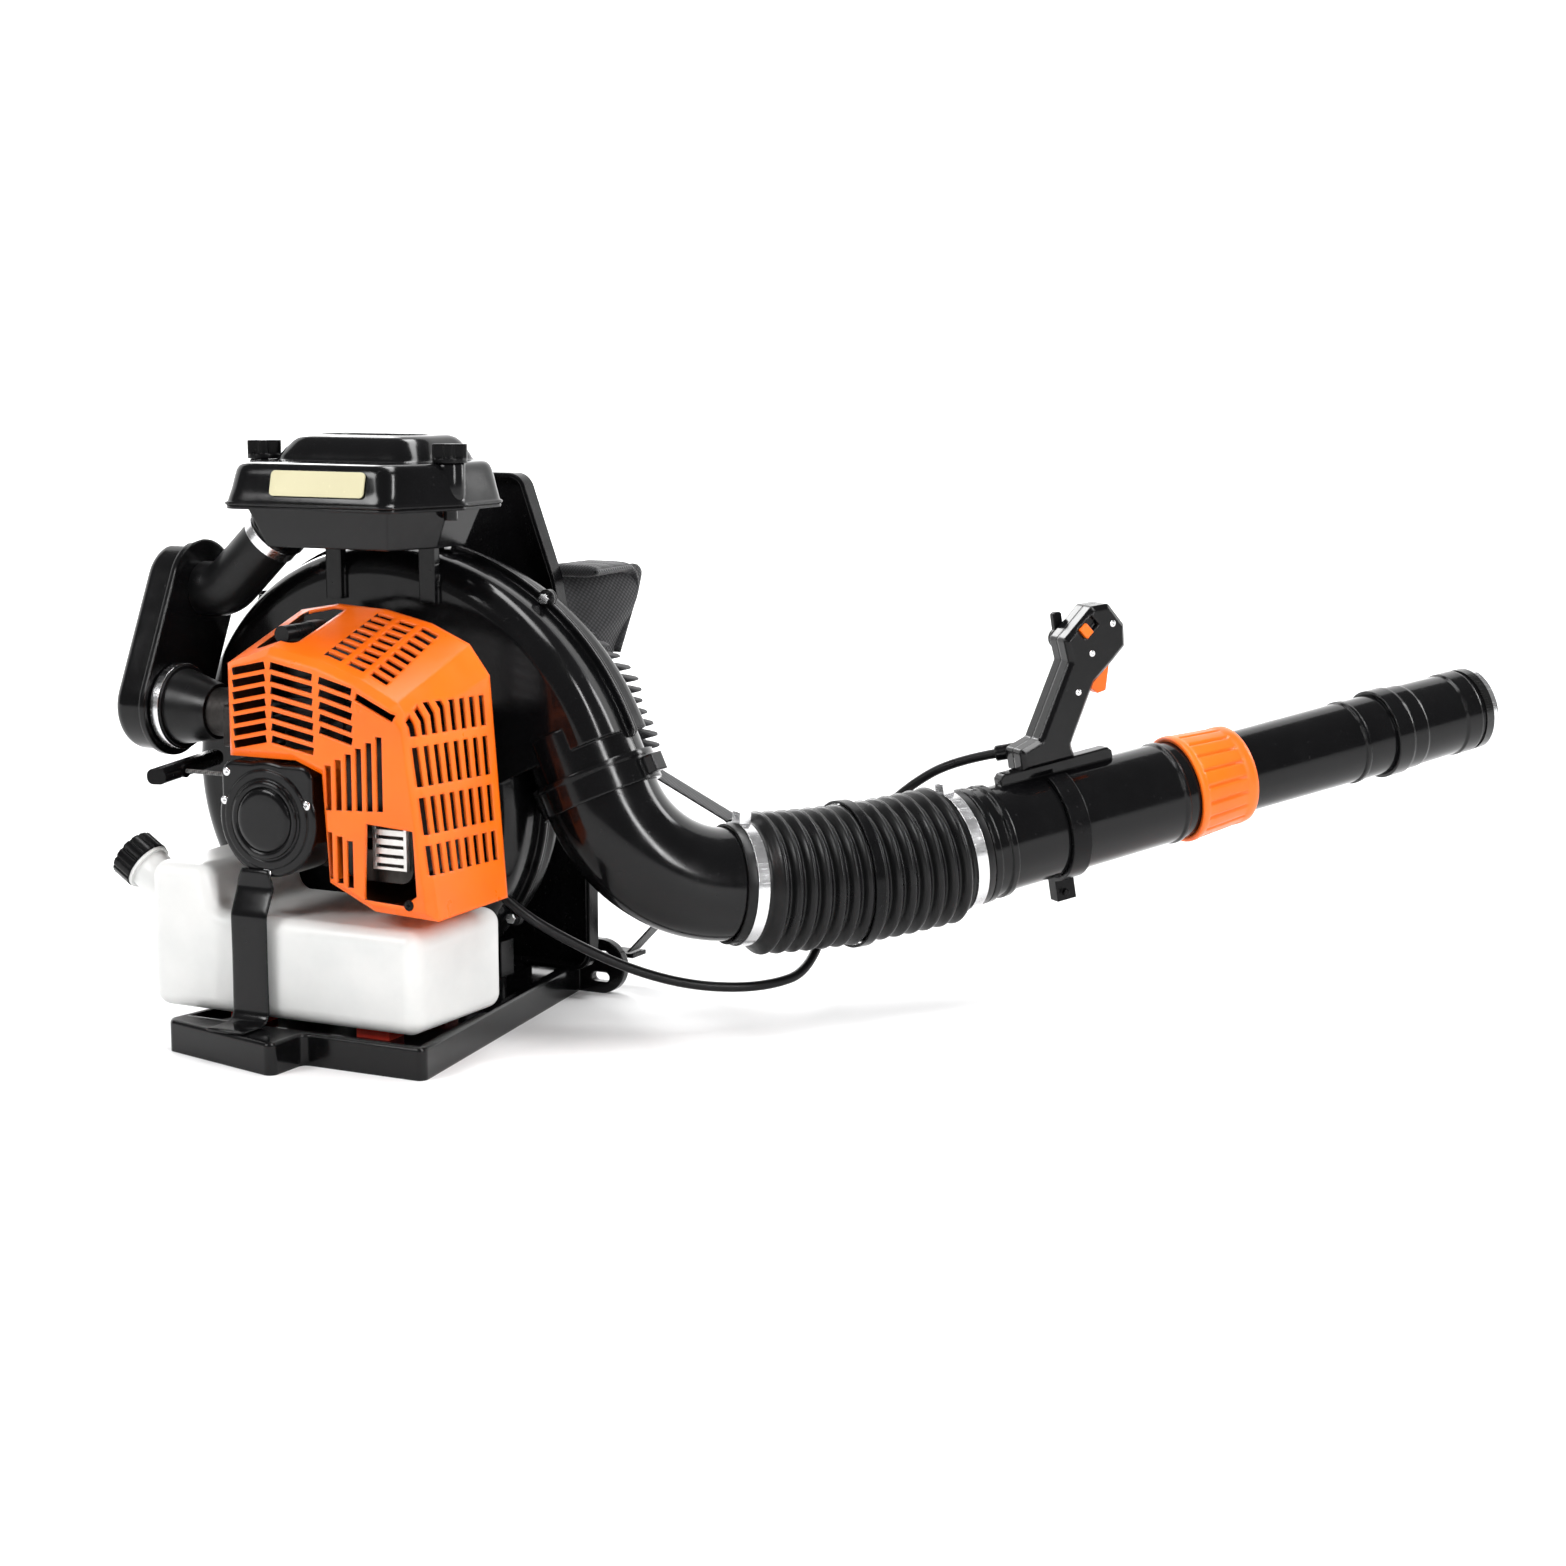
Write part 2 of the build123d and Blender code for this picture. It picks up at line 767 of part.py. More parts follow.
# ---------------------------------------------------------------- engine
with BuildPart() as crankcase:
    with BuildSketch(Plane.XZ):
        with Locations(crank):
            Circle(crankcase_radius)
        with Locations((crank_x, (crank_z + cylinder_bottom) / 2)):
            Rectangle(2 * cylinder_radius + 8, cylinder_bottom - crank_z)
        with Locations((crank_x, crank_z - crankcase_radius)):
            RectangleRounded(64, 18, 4)
    extrude(amount=-crankcase_front)
    with BuildSketch(Plane.XZ):
        with Locations(crank):
            Circle(crankcase_radius + wall)
            Circle(crankcase_radius - wall, mode=Mode.SUBTRACT)
    extrude(amount=2 * wall)
    with BuildSketch(Plane.XZ):
        with Locations(crank):
            Circle(shaft_radius + slip)
    extrude(amount=-crankcase_front, mode=Mode.SUBTRACT)
save(crankcase.part, "crankcase")

with BuildPart() as cylinder:
    with BuildSketch(Plane.XY.offset(cylinder_bottom)):
        with Locations((crank_x, bore_y)):
            Circle(cylinder_radius)
    extrude(amount=cylinder_top - cylinder_bottom)
    with BuildSketch(Plane.XY.offset(cylinder_bottom + 14)) as fin:
        with Locations((crank_x, bore_y)):
            RectangleRounded(2 * fin_half, 2 * fin_half, 8)
    extrude(amount=fin_thickness)
    fin_count = int((cylinder_top - cylinder_bottom - 14 - fin_thickness) / fin_pitch)
    for i in range(1, fin_count + 1):
        with BuildSketch(Plane.XY.offset(cylinder_bottom + 14 + i * fin_pitch)):
            with Locations((crank_x, bore_y)):
                RectangleRounded(2 * fin_half, 2 * fin_half, 8)
        extrude(amount=fin_thickness)
    for reach in (exhaust_reach, -intake_reach):
        with BuildSketch(Plane.YZ.offset(crank_x)):
            with Locations((bore_y, port_z)):
                RectangleRounded(34, 24, 4)
        extrude(amount=reach)
save(cylinder.part, "cylinder")

with BuildPart() as spark_plug:
    with BuildSketch(Plane.XY.offset(cylinder_top)):
        with Locations((crank_x, bore_y)):
            RegularPolygon(radius=9, side_count=6)
    extrude(amount=8)
    with BuildSketch(Plane.XY.offset(cylinder_top)):
        with Locations((crank_x, bore_y)):
            Circle(5.5)
    extrude(amount=22)
save(spark_plug.part, "spark_plug")

with BuildPart() as spark_plug_boot:
    with BuildSketch(Plane.XZ.offset(-bore_y + 9)):
        with Locations((crank_x, (cylinder_top + 10 + plug_top) / 2)):
            RectangleRounded(19, plug_top - cylinder_top - 10, 6)
    extrude(amount=-18)
    with BuildSketch(Plane.XZ.offset(-bore_y)):
        with Locations((crank_x, plug_top - 8)):
            Circle(7.5)
    extrude(amount=46)
    with BuildSketch(Plane.XY.offset(cylinder_top)):
        with Locations((crank_x, bore_y)):
            Circle(5.5)
    extrude(amount=22, mode=Mode.SUBTRACT)
save(spark_plug_boot.part, "spark_plug_boot")

with BuildPart() as muffler:
    muffler_width = muffler_right - muffler_left
    muffler_middle = (muffler_left + muffler_right) / 2
    with BuildSketch(Plane.XZ.offset(-muffler_rear)):
        with Locations((muffler_middle, (muffler_bottom + muffler_top) / 2)):
            RectangleRounded(muffler_width, muffler_top - muffler_bottom, 12)
    extrude(amount=muffler_rear - muffler_front)
    with BuildSketch(Plane.YZ.offset(muffler_left)):
        with Locations((bore_y, port_z)):
            RectangleRounded(30, 20, 4)
    extrude(amount=crank_x + exhaust_reach - muffler_left)
    with BuildSketch(Plane.XZ.offset(-muffler_front)):
        with Locations((muffler_right - 20, 192)):
            Rectangle(34, 40)
            with GridLocations(1, 8, 1, 5):
                Rectangle(28, 3, mode=Mode.SUBTRACT)
    extrude(amount=5)
    with BuildSketch(Plane.XZ.offset(-muffler_rear + wall)):
        with Locations((muffler_middle, (muffler_bottom + muffler_top) / 2)):
            Rectangle(muffler_width - 2 * wall, muffler_top - muffler_bottom - 2 * wall)
    extrude(amount=muffler_rear - muffler_front - 2 * wall, mode=Mode.SUBTRACT)
    with BuildSketch(Plane.XZ.offset(-muffler_front - wall - 1)):
        with Locations((muffler_left + 20, 192)):
            SlotOverall(24, 10)
    extrude(amount=wall + 2, mode=Mode.SUBTRACT)
save(muffler.part, "muffler")


# ---------------------------------------------------------------- engine shroud
# Matched outlines of its front edge and of its rear edge, from the lower left corner clockwise.
shroud_face = (
    (-79, 260), (-79, 340), (-33, 356), (20, 347), (61, 333), (96, 316),
    (110, 296), (133, 133), (69, 136), (23, 157), (17, 250), (-10, 260),
)
shroud_mouth = (
    (-76, 266), (-72, 378), (-32, 385), (20, 382), (66, 372), (104, 356),
    (124, 330), (139, 137), (76, 137), (27, 157), (22, 250), (-10, 262),
)


def shroud_body(inset):
    """Shroud as ruled sides between its bevelled front and its open rear, drawn smaller by the inset."""
    sections = []
    for y, points, shrink in (
        (shroud_front + inset, shroud_face, shroud_bevel + inset),
        (shroud_front + shroud_bevel, shroud_face, inset),
        (shroud_rear, shroud_mouth, inset),
    ):
        with BuildSketch(Plane.XZ.offset(-y)) as section:
            with BuildLine():
                Polyline(*points, close=True)
            make_face()
            if shrink:
                offset(amount=-shrink, kind=Kind.INTERSECTION, mode=Mode.REPLACE)
        sections.append(section.sketch)
    with BuildPart() as body:
        loft(sections=sections, ruled=True)
    return body.part


shroud_outside = shroud_body(0)
shroud_inside = shroud_body(shroud_wall)

with BuildSketch() as front_slots:
    for left, right, height, slope in (
        (-69, -35, 337.5, 12),
        (-29, 14, 337, -10.5),
        (21, 54, 327, -14),
        (58, 96, 311, -24),
    ):
        width = (right - left) / cos(radians(slope))
        for i in range(7):
            middle = (left + right) / 2
            floor = rib_foot_z + (right - rib_foot_x) * tan(radians(rib_tilt))
            centre_z = height - i * slot_pitch
            if right < rib_foot_x or centre_z - slot_height > floor:
                with Locations((middle, centre_z)):
                    Rectangle(width, slot_height, rotation=slope)
    for i in range(6):
        x = 28 + i * slot_pitch
        with Locations((x, 240 + i * 3)):
            Rectangle(slot_height, 38 + i * 5)
    for i in range(3):
        with Locations((28 + i * slot_pitch, 182 - i * 3)):
            Rectangle(slot_height, 40)
    with BuildLine():
        Polyline((66, 212), (113, 209), (116, 154), (103, 145), (63, 147), close=True)
    make_face()

with BuildPart() as engine_shroud:
    add(shroud_outside)
    add(shroud_inside, mode=Mode.SUBTRACT)
    with BuildSketch(Plane.XZ.offset(-shroud_front + 1)):
        add(front_slots.sketch)
    extrude(amount=-2 * shroud_wall - 2, mode=Mode.SUBTRACT)
    with BuildSketch(Plane.YZ.offset(muffler_right + 2)):
        for top, bottom in ((314, 288), (279, 246), (237, 206), (197, 172)):
            with Locations(((shroud_front + shroud_rear) / 2 - 2, (top + bottom) / 2)):
                with GridLocations(slot_pitch + 1.5, 1, 8, 1):
                    Rectangle(slot_height, top - bottom)
    extrude(amount=60, mode=Mode.SUBTRACT)
    with BuildSketch(Plane.XY.offset(320)):
        for x in (24, 47, 70):
            with Locations((x, (shroud_front + shroud_rear) / 2 + 4)):
                with GridLocations(1, slot_pitch, 1, 8):
                    Rectangle(17, slot_height)
    extrude(amount=80, mode=Mode.SUBTRACT)
    with BuildSketch(Plane.XY.offset(cylinder_top)):
        with Locations((crank_x, bore_y - 18)):
            RectangleRounded(44, 78, 8)
    extrude(amount=80, mode=Mode.SUBTRACT)
    with BuildSketch(Plane.XY.offset(cylinder_bottom - 10)):
        with Locations((crank_x, bore_y + 10)):
            Rectangle(2 * fin_half + 8, 2 * fin_half + 34)
    extrude(amount=34, mode=Mode.SUBTRACT)
    with BuildSketch(Plane.YZ.offset(crank_x)):
        with Locations((bore_y + 15, port_z)):
            Rectangle(80, 60)
    extrude(amount=-60, mode=Mode.SUBTRACT)
save(engine_shroud.part, "engine_shroud")


# ---------------------------------------------------------------- recoil starter
with BuildSketch() as starter_outline:
    with Locations(crank):
        Circle(starter_radius)
    with Locations(((starter_left + starter_right) / 2, (crank_z + starter_top) / 2)):
        Rectangle(starter_right - starter_left, starter_top - crank_z)
    fillet(starter_outline.vertices().group_by(Axis.Y)[-1], radius=12)

with BuildPart() as starter_housing:
    with BuildSketch(Plane.XZ.offset(-starter_front)):
        add(starter_outline.sketch)
    extrude(amount=starter_front - starter_rear)
    fillet(starter_housing.faces().sort_by(Axis.Y)[0].edges(), radius=4)
    with BuildSketch(Plane.XZ.offset(-starter_rear)):
        offset(starter_outline.sketch, amount=-starter_wall)
    extrude(amount=starter_rear - starter_front - starter_wall, mode=Mode.SUBTRACT)
    with BuildSketch(Plane.XZ.offset(-starter_front)):
        with Locations(crank):
            Circle(ring_radius)
            Circle(disc_radius + slip, mode=Mode.SUBTRACT)
    extrude(amount=2)
    with BuildSketch(Plane.YZ.offset(starter_left)):
        with Locations((rope_y, rope_z)):
            Circle(8)
    extrude(amount=-6)
    with BuildSketch(Plane.YZ.offset(starter_left + wall)):
        with Locations((rope_y, rope_z)):
            Circle(rope_radius + touch)
    extrude(amount=-20, mode=Mode.SUBTRACT)
    with BuildSketch(Plane.XZ.offset(-starter_front - starter_wall)):
        with Locations(crank):
            Circle(pin_radius)
    extrude(amount=starter_front - starter_rear + 2 * starter_wall)
save(starter_housing.part, "starter_housing")

with BuildPart() as starter_disc:
    with BuildSketch(Plane.XZ.offset(-starter_front)):
        with Locations(crank):
            Circle(disc_radius)
    extrude(amount=3)
    chamfer(starter_disc.faces().sort_by(Axis.Y)[0].edges(), length=1)
save(starter_disc.part, "starter_disc")

with BuildPart() as starter_pulley:
    with BuildSketch(Plane.XZ.offset(-starter_rear + 2)):
        with Locations(crank):
            Circle(pulley_radius)
            Circle(pin_radius + slip, mode=Mode.SUBTRACT)
    extrude(amount=13)
    with BuildSketch(Plane.XZ.offset(-rope_y - rope_radius)) as groove:
        with Locations(crank):
            Circle(pulley_radius)
            Circle(pulley_radius - 2 * rope_radius - touch, mode=Mode.SUBTRACT)
    extrude(amount=2 * rope_radius, mode=Mode.SUBTRACT)
save(starter_pulley.part, "starter_pulley")

grip_plane = Plane(
    origin=(grip_x, rope_y + 20, rope_z),
    x_dir=(cos(radians(grip_turn)), sin(radians(grip_turn)), 0),
    z_dir=(-sin(radians(grip_turn)), cos(radians(grip_turn)), 0),
)
with BuildPart() as starter_grip:
    with BuildSketch(grip_plane):
        RectangleRounded(2 * grip_radius + 2, 2 * grip_radius - 2, grip_radius - 2)
    extrude(amount=grip_length / 2, both=True)
    fillet(starter_grip.faces().sort_by(SortBy.AREA)[0].edges(), radius=3)
    with BuildSketch(Plane.YZ.offset(grip_x)):
        with Locations((rope_y, rope_z)):
            Circle(6)
    extrude(amount=16)
save(starter_grip.part, "starter_grip")

with BuildPart() as starter_rope:
    with BuildSketch(Plane.YZ.offset(grip_x + 16)):
        with Locations((rope_y, rope_z)):
            Circle(rope_radius)
    extrude(amount=crank_x - pulley_radius - grip_x - 14)
save(starter_rope.part, "starter_rope")


# ---------------------------------------------------------------- carburettor and intake
with BuildPart() as intake_insulator:
    with BuildSketch(Plane.YZ.offset(crank_x - intake_reach)):
        with Locations((bore_y, port_z)):
            RectangleRounded(46, 30, 6)
    extrude(amount=carburettor_right - crank_x + intake_reach)
save(intake_insulator.part, "intake_insulator")

with BuildPart() as carburettor:
    with BuildSketch(Plane.YZ.offset(carburettor_right)):
        with Locations((bore_y, port_z)):
            RectangleRounded(40, 38, 5)
    extrude(amount=-44)
    with BuildSketch(Plane.YZ.offset(carburettor_right - 44)):
        with Locations((boot_y - 4, boot_z - 2)):
            Circle(22)
    extrude(amount=carburettor_left - carburettor_right + 44)
    with BuildSketch(Plane.XY.offset(port_z - 19)):
        with Locations((carburettor_right - 22, bore_y)):
            Circle(15)
    extrude(amount=-12)
    with BuildSketch(Plane.XY.offset(port_z + 19)):
        with Locations((carburettor_right - 22, bore_y)):
            Circle(6)
    extrude(amount=9)
save(carburettor.part, "carburettor")

with BuildPart() as duct_boot:
    with BuildSketch(Plane.YZ.offset(carburettor_left)):
        with Locations((boot_y - 4, boot_z - 2)):
            Circle(25)
    with BuildSketch(Plane.YZ.offset(duct_face_x + 12)):
        with Locations((boot_y, boot_z)):
            Circle(34)
    loft(ruled=True)
    with BuildSketch(Plane.YZ.offset(duct_face_x + 12)):
        with Locations((boot_y, boot_z)):
            Circle(37)
    extrude(amount=-12)
save(duct_boot.part, "duct_boot")

duct_lean = atan2(pipe_y - boot_y, pipe_z - boot_z)
duct_span = (pipe_z - boot_z) / cos(duct_lean)
with BuildSketch() as duct_outline:
    with Locations(((boot_y + pipe_y) / 2, (boot_z + pipe_z) / 2)):
        SlotOverall(duct_span + 2 * duct_radius, 2 * duct_radius, rotation=90 - degrees(duct_lean))
with BuildPart() as intake_duct:
    with BuildSketch(Plane.YZ.offset(duct_face_x)):
        add(duct_outline.sketch)
    extrude(amount=-duct_depth)
    fillet(intake_duct.faces().sort_by(Axis.X)[0].edges(), radius=12)
    with BuildSketch(Plane.YZ.offset(duct_face_x)):
        offset(duct_outline.sketch, amount=4)
    extrude(amount=-6)
save(intake_duct.part, "intake_duct")

pipe_end = Vector(tub_left - 16, pipe_y, pipe_end_z)
with BuildPart() as intake_pipe:
    with BuildLine() as pipe_line:
        FilletPolyline(
            (duct_face_x, pipe_y, pipe_z),
            (duct_face_x + 24, pipe_y, pipe_z),
            pipe_end,
            radius=30,
        )
    with BuildSketch(Plane.YZ.offset(duct_face_x)):
        with Locations((pipe_y, pipe_z)):
            Circle(intake_radius)
    sweep()
save(intake_pipe.part, "intake_pipe")
pipe_way = (pipe_end - Vector(duct_face_x + 24, pipe_y, pipe_z)).normalized()

with BuildPart() as duct_clamps:
    with BuildSketch(Plane.YZ.offset(duct_face_x + 2)):
        with Locations((boot_y, boot_z)):
            Circle(37 + slip + band_wall)
            Circle(37 + slip, mode=Mode.SUBTRACT)
    extrude(amount=8)
    with BuildSketch(Plane(origin=pipe_end - pipe_way * 12, z_dir=pipe_way)):
        Circle(intake_radius + slip + band_wall)
        Circle(intake_radius + slip, mode=Mode.SUBTRACT)
    extrude(amount=9)
save(duct_clamps.part, "duct_clamps")


# ---------------------------------------------------------------- air cleaner
def cleaner_outline(inset):
    """Plan outline of the air cleaner's cover, drawn smaller by the inset."""
    with BuildSketch() as plan:
        with BuildLine():
            Polyline(
                (cleaner_x - 85.5, -115),
                (cleaner_x + 85.5, -115),
                (cleaner_x + 112.5, -40),
                (cleaner_x + 112.5, 20),
                (cleaner_x + 90.5, 50),
                (cleaner_x - 90.5, 50),
                (cleaner_x - 112.5, 20),
                (cleaner_x - 112.5, -40),
                close=True,
            )
        make_face()
        fillet(plan.vertices(), radius=18)
        if inset:
            offset(amount=-inset, mode=Mode.REPLACE)
    return plan.sketch


rim_outline = cleaner_outline(0)
tub_outline = cleaner_outline(tub_inset)
tub_floor_outline = cleaner_outline(tub_inset + 14)
tub_cavity = cleaner_outline(tub_inset + wall)
tub_floor_cavity = cleaner_outline(tub_inset + 14 + wall)
cover_cavity = cleaner_outline(wall)
brow_outline = cleaner_outline(8)
brow_cavity = cleaner_outline(8 + wall)
hump_outline = cleaner_outline(30)

with BuildPart() as air_cleaner_base:
    with BuildSketch(Plane.XY.offset(tub_bottom)):
        add(tub_floor_outline)
    with BuildSketch(Plane.XY.offset(rim_z - wall)):
        add(tub_outline)
    loft(ruled=True)
    with BuildSketch(Plane(origin=pipe_end, z_dir=pipe_way)):
        Circle(intake_radius + wall)
    extrude(amount=46)
    split(bisect_by=Plane.XY.offset(rim_z - wall), keep=Keep.BOTTOM)
    with BuildSketch(Plane.XY.offset(tub_bottom + wall)):
        add(tub_floor_cavity)
    with BuildSketch(Plane.XY.offset(rim_z - wall)):
        add(tub_cavity)
    loft(ruled=True, mode=Mode.SUBTRACT)
    with BuildSketch(Plane(origin=pipe_end + pipe_way * wall, z_dir=pipe_way)):
        Circle(intake_radius)
    extrude(amount=60, mode=Mode.SUBTRACT)
    with BuildSketch(Plane.XY.offset(rim_z - wall)):
        add(rim_outline)
        add(tub_cavity, mode=Mode.SUBTRACT)
        for side in (-1, 1):
            with Locations((cleaner_x + side * knob_half, knob_y)):
                Circle(6)
    extrude(amount=wall)
    for side in (-1, 1):
        with BuildSketch(Plane.XY.offset(rim_z - 4 * wall)):
            with Locations((cleaner_x + side * knob_half, knob_y)):
                Circle(6)
        extrude(amount=4 * wall)
        with BuildSketch(Plane.XY.offset(rim_z - 3 * wall)):
            with Locations((cleaner_x + side * knob_half, knob_y)):
                Circle(knob_stem + slip)
        extrude(amount=4 * wall, mode=Mode.SUBTRACT)
save(air_cleaner_base.part, "air_cleaner_base")

with BuildPart() as air_filter:
    with BuildSketch(Plane.XY.offset(rim_z + touch)):
        with Locations((cleaner_x, -32.5)):
            RectangleRounded(filter_width, filter_depth, 24)
            RectangleRounded(filter_width - 48, filter_depth - 64, 10, mode=Mode.SUBTRACT)
    extrude(amount=filter_height)
save(air_filter.part, "air_filter")

with BuildPart() as air_cleaner_cover:
    with BuildSketch(Plane.XY.offset(rim_z)):
        add(rim_outline)
    extrude(amount=3)
    with BuildSketch(Plane.XY.offset(rim_z + 3)):
        add(rim_outline)
    with BuildSketch(Plane.XY.offset(deck_z)):
        add(brow_outline)
    loft(ruled=True)
    with BuildSketch(Plane.XY.offset(rim_z)):
        add(cover_cavity)
    with BuildSketch(Plane.XY.offset(deck_z - wall)):
        add(brow_cavity)
    loft(ruled=True, mode=Mode.SUBTRACT)
    with BuildSketch(Plane.XY.offset(deck_z)):
        with Locations((cleaner_x, -8)):
            RectangleRounded(156, 104, 20)
    with BuildSketch(Plane.XY.offset(cover_top)):
        with Locations((cleaner_x, -6)):
            RectangleRounded(140, 84, 20)
    loft(ruled=True)
    with BuildSketch(Plane.XY.offset(cover_top - 4)):
        with Locations((cleaner_x, -2)):
            SlotOverall(104, 44)
    extrude(amount=6, mode=Mode.SUBTRACT)
    for side in (-1, 1):
        with BuildSketch(Plane.XY.offset(rim_z)):
            with Locations((cleaner_x + side * knob_half, knob_y)):
                Circle(knob_stem + 3)
        extrude(amount=deck_z - rim_z)
        with BuildSketch(Plane.XY.offset(rim_z - 1)):
            with Locations((cleaner_x + side * knob_half, knob_y)):
                Circle(knob_stem + slip)
        extrude(amount=80, mode=Mode.SUBTRACT)
save(air_cleaner_cover.part, "air_cleaner_cover")

for side, name in ((-1, "left"), (1, "right")):
    with BuildPart() as knob:
        with BuildSketch(Plane.XY.offset(deck_z + touch)):
            with Locations((cleaner_x + side * knob_half, knob_y)):
                Circle(knob_radius)
        extrude(amount=4)
        with BuildSketch(Plane.XY.offset(deck_z + touch)):
            with Locations((cleaner_x + side * knob_half, knob_y)):
                RectangleRounded(2 * knob_radius, 9, 4, rotation=25)
                Circle(7)
        extrude(amount=16)
        with BuildSketch(Plane.XY.offset(rim_z - 2 * wall)):
            with Locations((cleaner_x + side * knob_half, knob_y)):
                Circle(knob_stem)
        extrude(amount=deck_z - rim_z + 2 * wall + 1)
    save(knob.part, f"knob_{name}")

front_lean = atan2(8, deck_z - rim_z - 3)
plate_plane = Plane(
    origin=(cleaner_x + 12, -115 + (plate_z - rim_z - 3) * tan(front_lean), plate_z),
    x_dir=(1, 0, 0),
    z_dir=(0, -cos(front_lean), sin(front_lean)),
)
with BuildPart() as cover_plate:
    with BuildSketch(plate_plane):
        RectangleRounded(97, 22, 4)
    extrude(amount=1.5)
save(cover_plate.part, "cover_plate")


# ---------------------------------------------------------------- outlet, elbow and bellows
outlet_way = Vector(outlet_down.X, 0, outlet_down.Y)
outlet_point = Vector(outlet_end_x, mid_depth, outlet_end_z)
elbow_corner = outlet_point + outlet_way * elbow_lead
elbow_way = direction(hose_azimuth, elbow_exit_pitch)
hose_start = elbow_corner + elbow_way * elbow_tail
hose_end = hose_start + direction(hose_azimuth, (elbow_exit_pitch + tube_pitch) / 2) * hose_chord
tube_way = direction(hose_azimuth, tube_pitch)
across_hose = Vector(-sin(radians(hose_azimuth)), cos(radians(hose_azimuth)), 0)


def ring_plane(origin, way):
    """Plane square to a way, with its X along the level direction across the hose."""
    return Plane(origin=origin, x_dir=across_hose, z_dir=way)


with BuildPart() as outlet_collar:
    with BuildSketch(ring_plane(outlet_point - outlet_way * cuff_before, outlet_way)):
        Circle(pipe_radius + slip + collar_wall)
        Circle(pipe_radius + slip, mode=Mode.SUBTRACT)
    extrude(amount=cuff_before + cuff_after)
    with BuildSketch(ring_plane(outlet_point - outlet_way * cuff_before, outlet_way)):
        Circle(pipe_radius + slip + collar_wall + 1)
        Circle(pipe_radius + slip, mode=Mode.SUBTRACT)
    extrude(amount=5)
    with BuildSketch(Plane.XZ.offset(-mid_depth)):
        with Locations(outlet_end + outlet_normal * (pipe_radius + 9) + outlet_down * 8):
            Rectangle(16, 16, rotation=outlet_tilt)
    extrude(amount=9, both=True)
save(outlet_collar.part, "outlet_collar")

with BuildPart() as elbow_pipe:
    with BuildLine():
        FilletPolyline(
            outlet_point, elbow_corner, hose_start + elbow_way * (band_width / 2), radius=elbow_bend
        )
    with BuildSketch(ring_plane(outlet_point, outlet_way)):
        Circle(pipe_radius)
        Circle(pipe_radius - wall, mode=Mode.SUBTRACT)
    sweep()
save(elbow_pipe.part, "elbow_pipe")

# The bellows bends evenly along an arc between its two cuffs.
bend = tube_pitch - elbow_exit_pitch
hose_radius = hose_chord / 2 / sin(radians(bend / 2))


def hose_plane(turn):
    """Plane square to the bellows after a part of its bend, from 0 at the elbow to 1 at the tube."""
    pitch = elbow_exit_pitch + bend * turn
    chord = 2 * hose_radius * sin(radians(bend * turn / 2))
    return ring_plane(
        hose_start + direction(hose_azimuth, (elbow_exit_pitch + pitch) / 2) * chord,
        direction(hose_azimuth, pitch),
    )


cuff_turn = (cuff_length - cuff_insert) / hose_chord
rib_turn = (1 - 2 * cuff_turn) / bellows_ribs


def hose_rings(reduction):
    """Radius at each plane along the bellows, smaller by the reduction."""
    rings = [(0, pipe_radius + touch + cuff_wall), (cuff_turn, pipe_radius + touch + cuff_wall)]
    for i in range(bellows_ribs):
        rings.append((cuff_turn + rib_turn * (i + 0.08), bellows_root))
        rings.append((cuff_turn + rib_turn * (i + 0.4), bellows_crest))
        rings.append((cuff_turn + rib_turn * (i + 0.6), bellows_crest))
        rings.append((cuff_turn + rib_turn * (i + 0.92), bellows_root))
    rings.append((1 - cuff_turn, swivel_radius + touch + cuff_wall))
    rings.append((1, swivel_radius + touch + cuff_wall))
    return [(turn, radius - reduction) for turn, radius in rings]


with BuildPart() as bellows_hose:
    for turn, radius in hose_rings(0):
        with BuildSketch(hose_plane(turn)):
            Circle(radius)
    loft(ruled=True)
    with BuildSketch(hose_plane(0)):
        Circle(pipe_radius + touch + cuff_wall)
    extrude(amount=-cuff_insert)
    with BuildSketch(hose_plane(1)):
        Circle(swivel_radius + touch + cuff_wall)
    extrude(amount=cuff_insert)
    with BuildSketch(hose_plane(0)):
        Circle(bellows_bore + touch)
    with BuildSketch(hose_plane(0.5)):
        Circle(bellows_bore + touch)
    with BuildSketch(hose_plane(1)):
        Circle(bellows_bore + touch)
    loft(ruled=True, mode=Mode.SUBTRACT)
    with BuildSketch(hose_plane(0).offset(-cuff_insert)):
        Circle(pipe_radius + touch)
    extrude(amount=cuff_length, mode=Mode.SUBTRACT)
    with BuildSketch(hose_plane(1).offset(cuff_insert)):
        Circle(swivel_radius + touch)
    extrude(amount=-cuff_length, mode=Mode.SUBTRACT)
save(bellows_hose.part, "bellows_hose")

for plane, radius, name in (
    (hose_plane(0), pipe_radius, "elbow_clamp"),
    (hose_plane(1), swivel_radius, "hose_clamp"),
):
    seat = radius + touch + cuff_wall + slip
    with BuildPart() as band:
        with BuildSketch(plane.offset(-band_width / 2)):
            Circle(seat + band_wall)
            Circle(seat, mode=Mode.SUBTRACT)
        extrude(amount=band_width)
        with BuildSketch(plane.offset(-band_width / 2)):
            with Locations((0, seat + 6)):
                Rectangle(16, 10)
        extrude(amount=band_width)
    save(band.part, name)

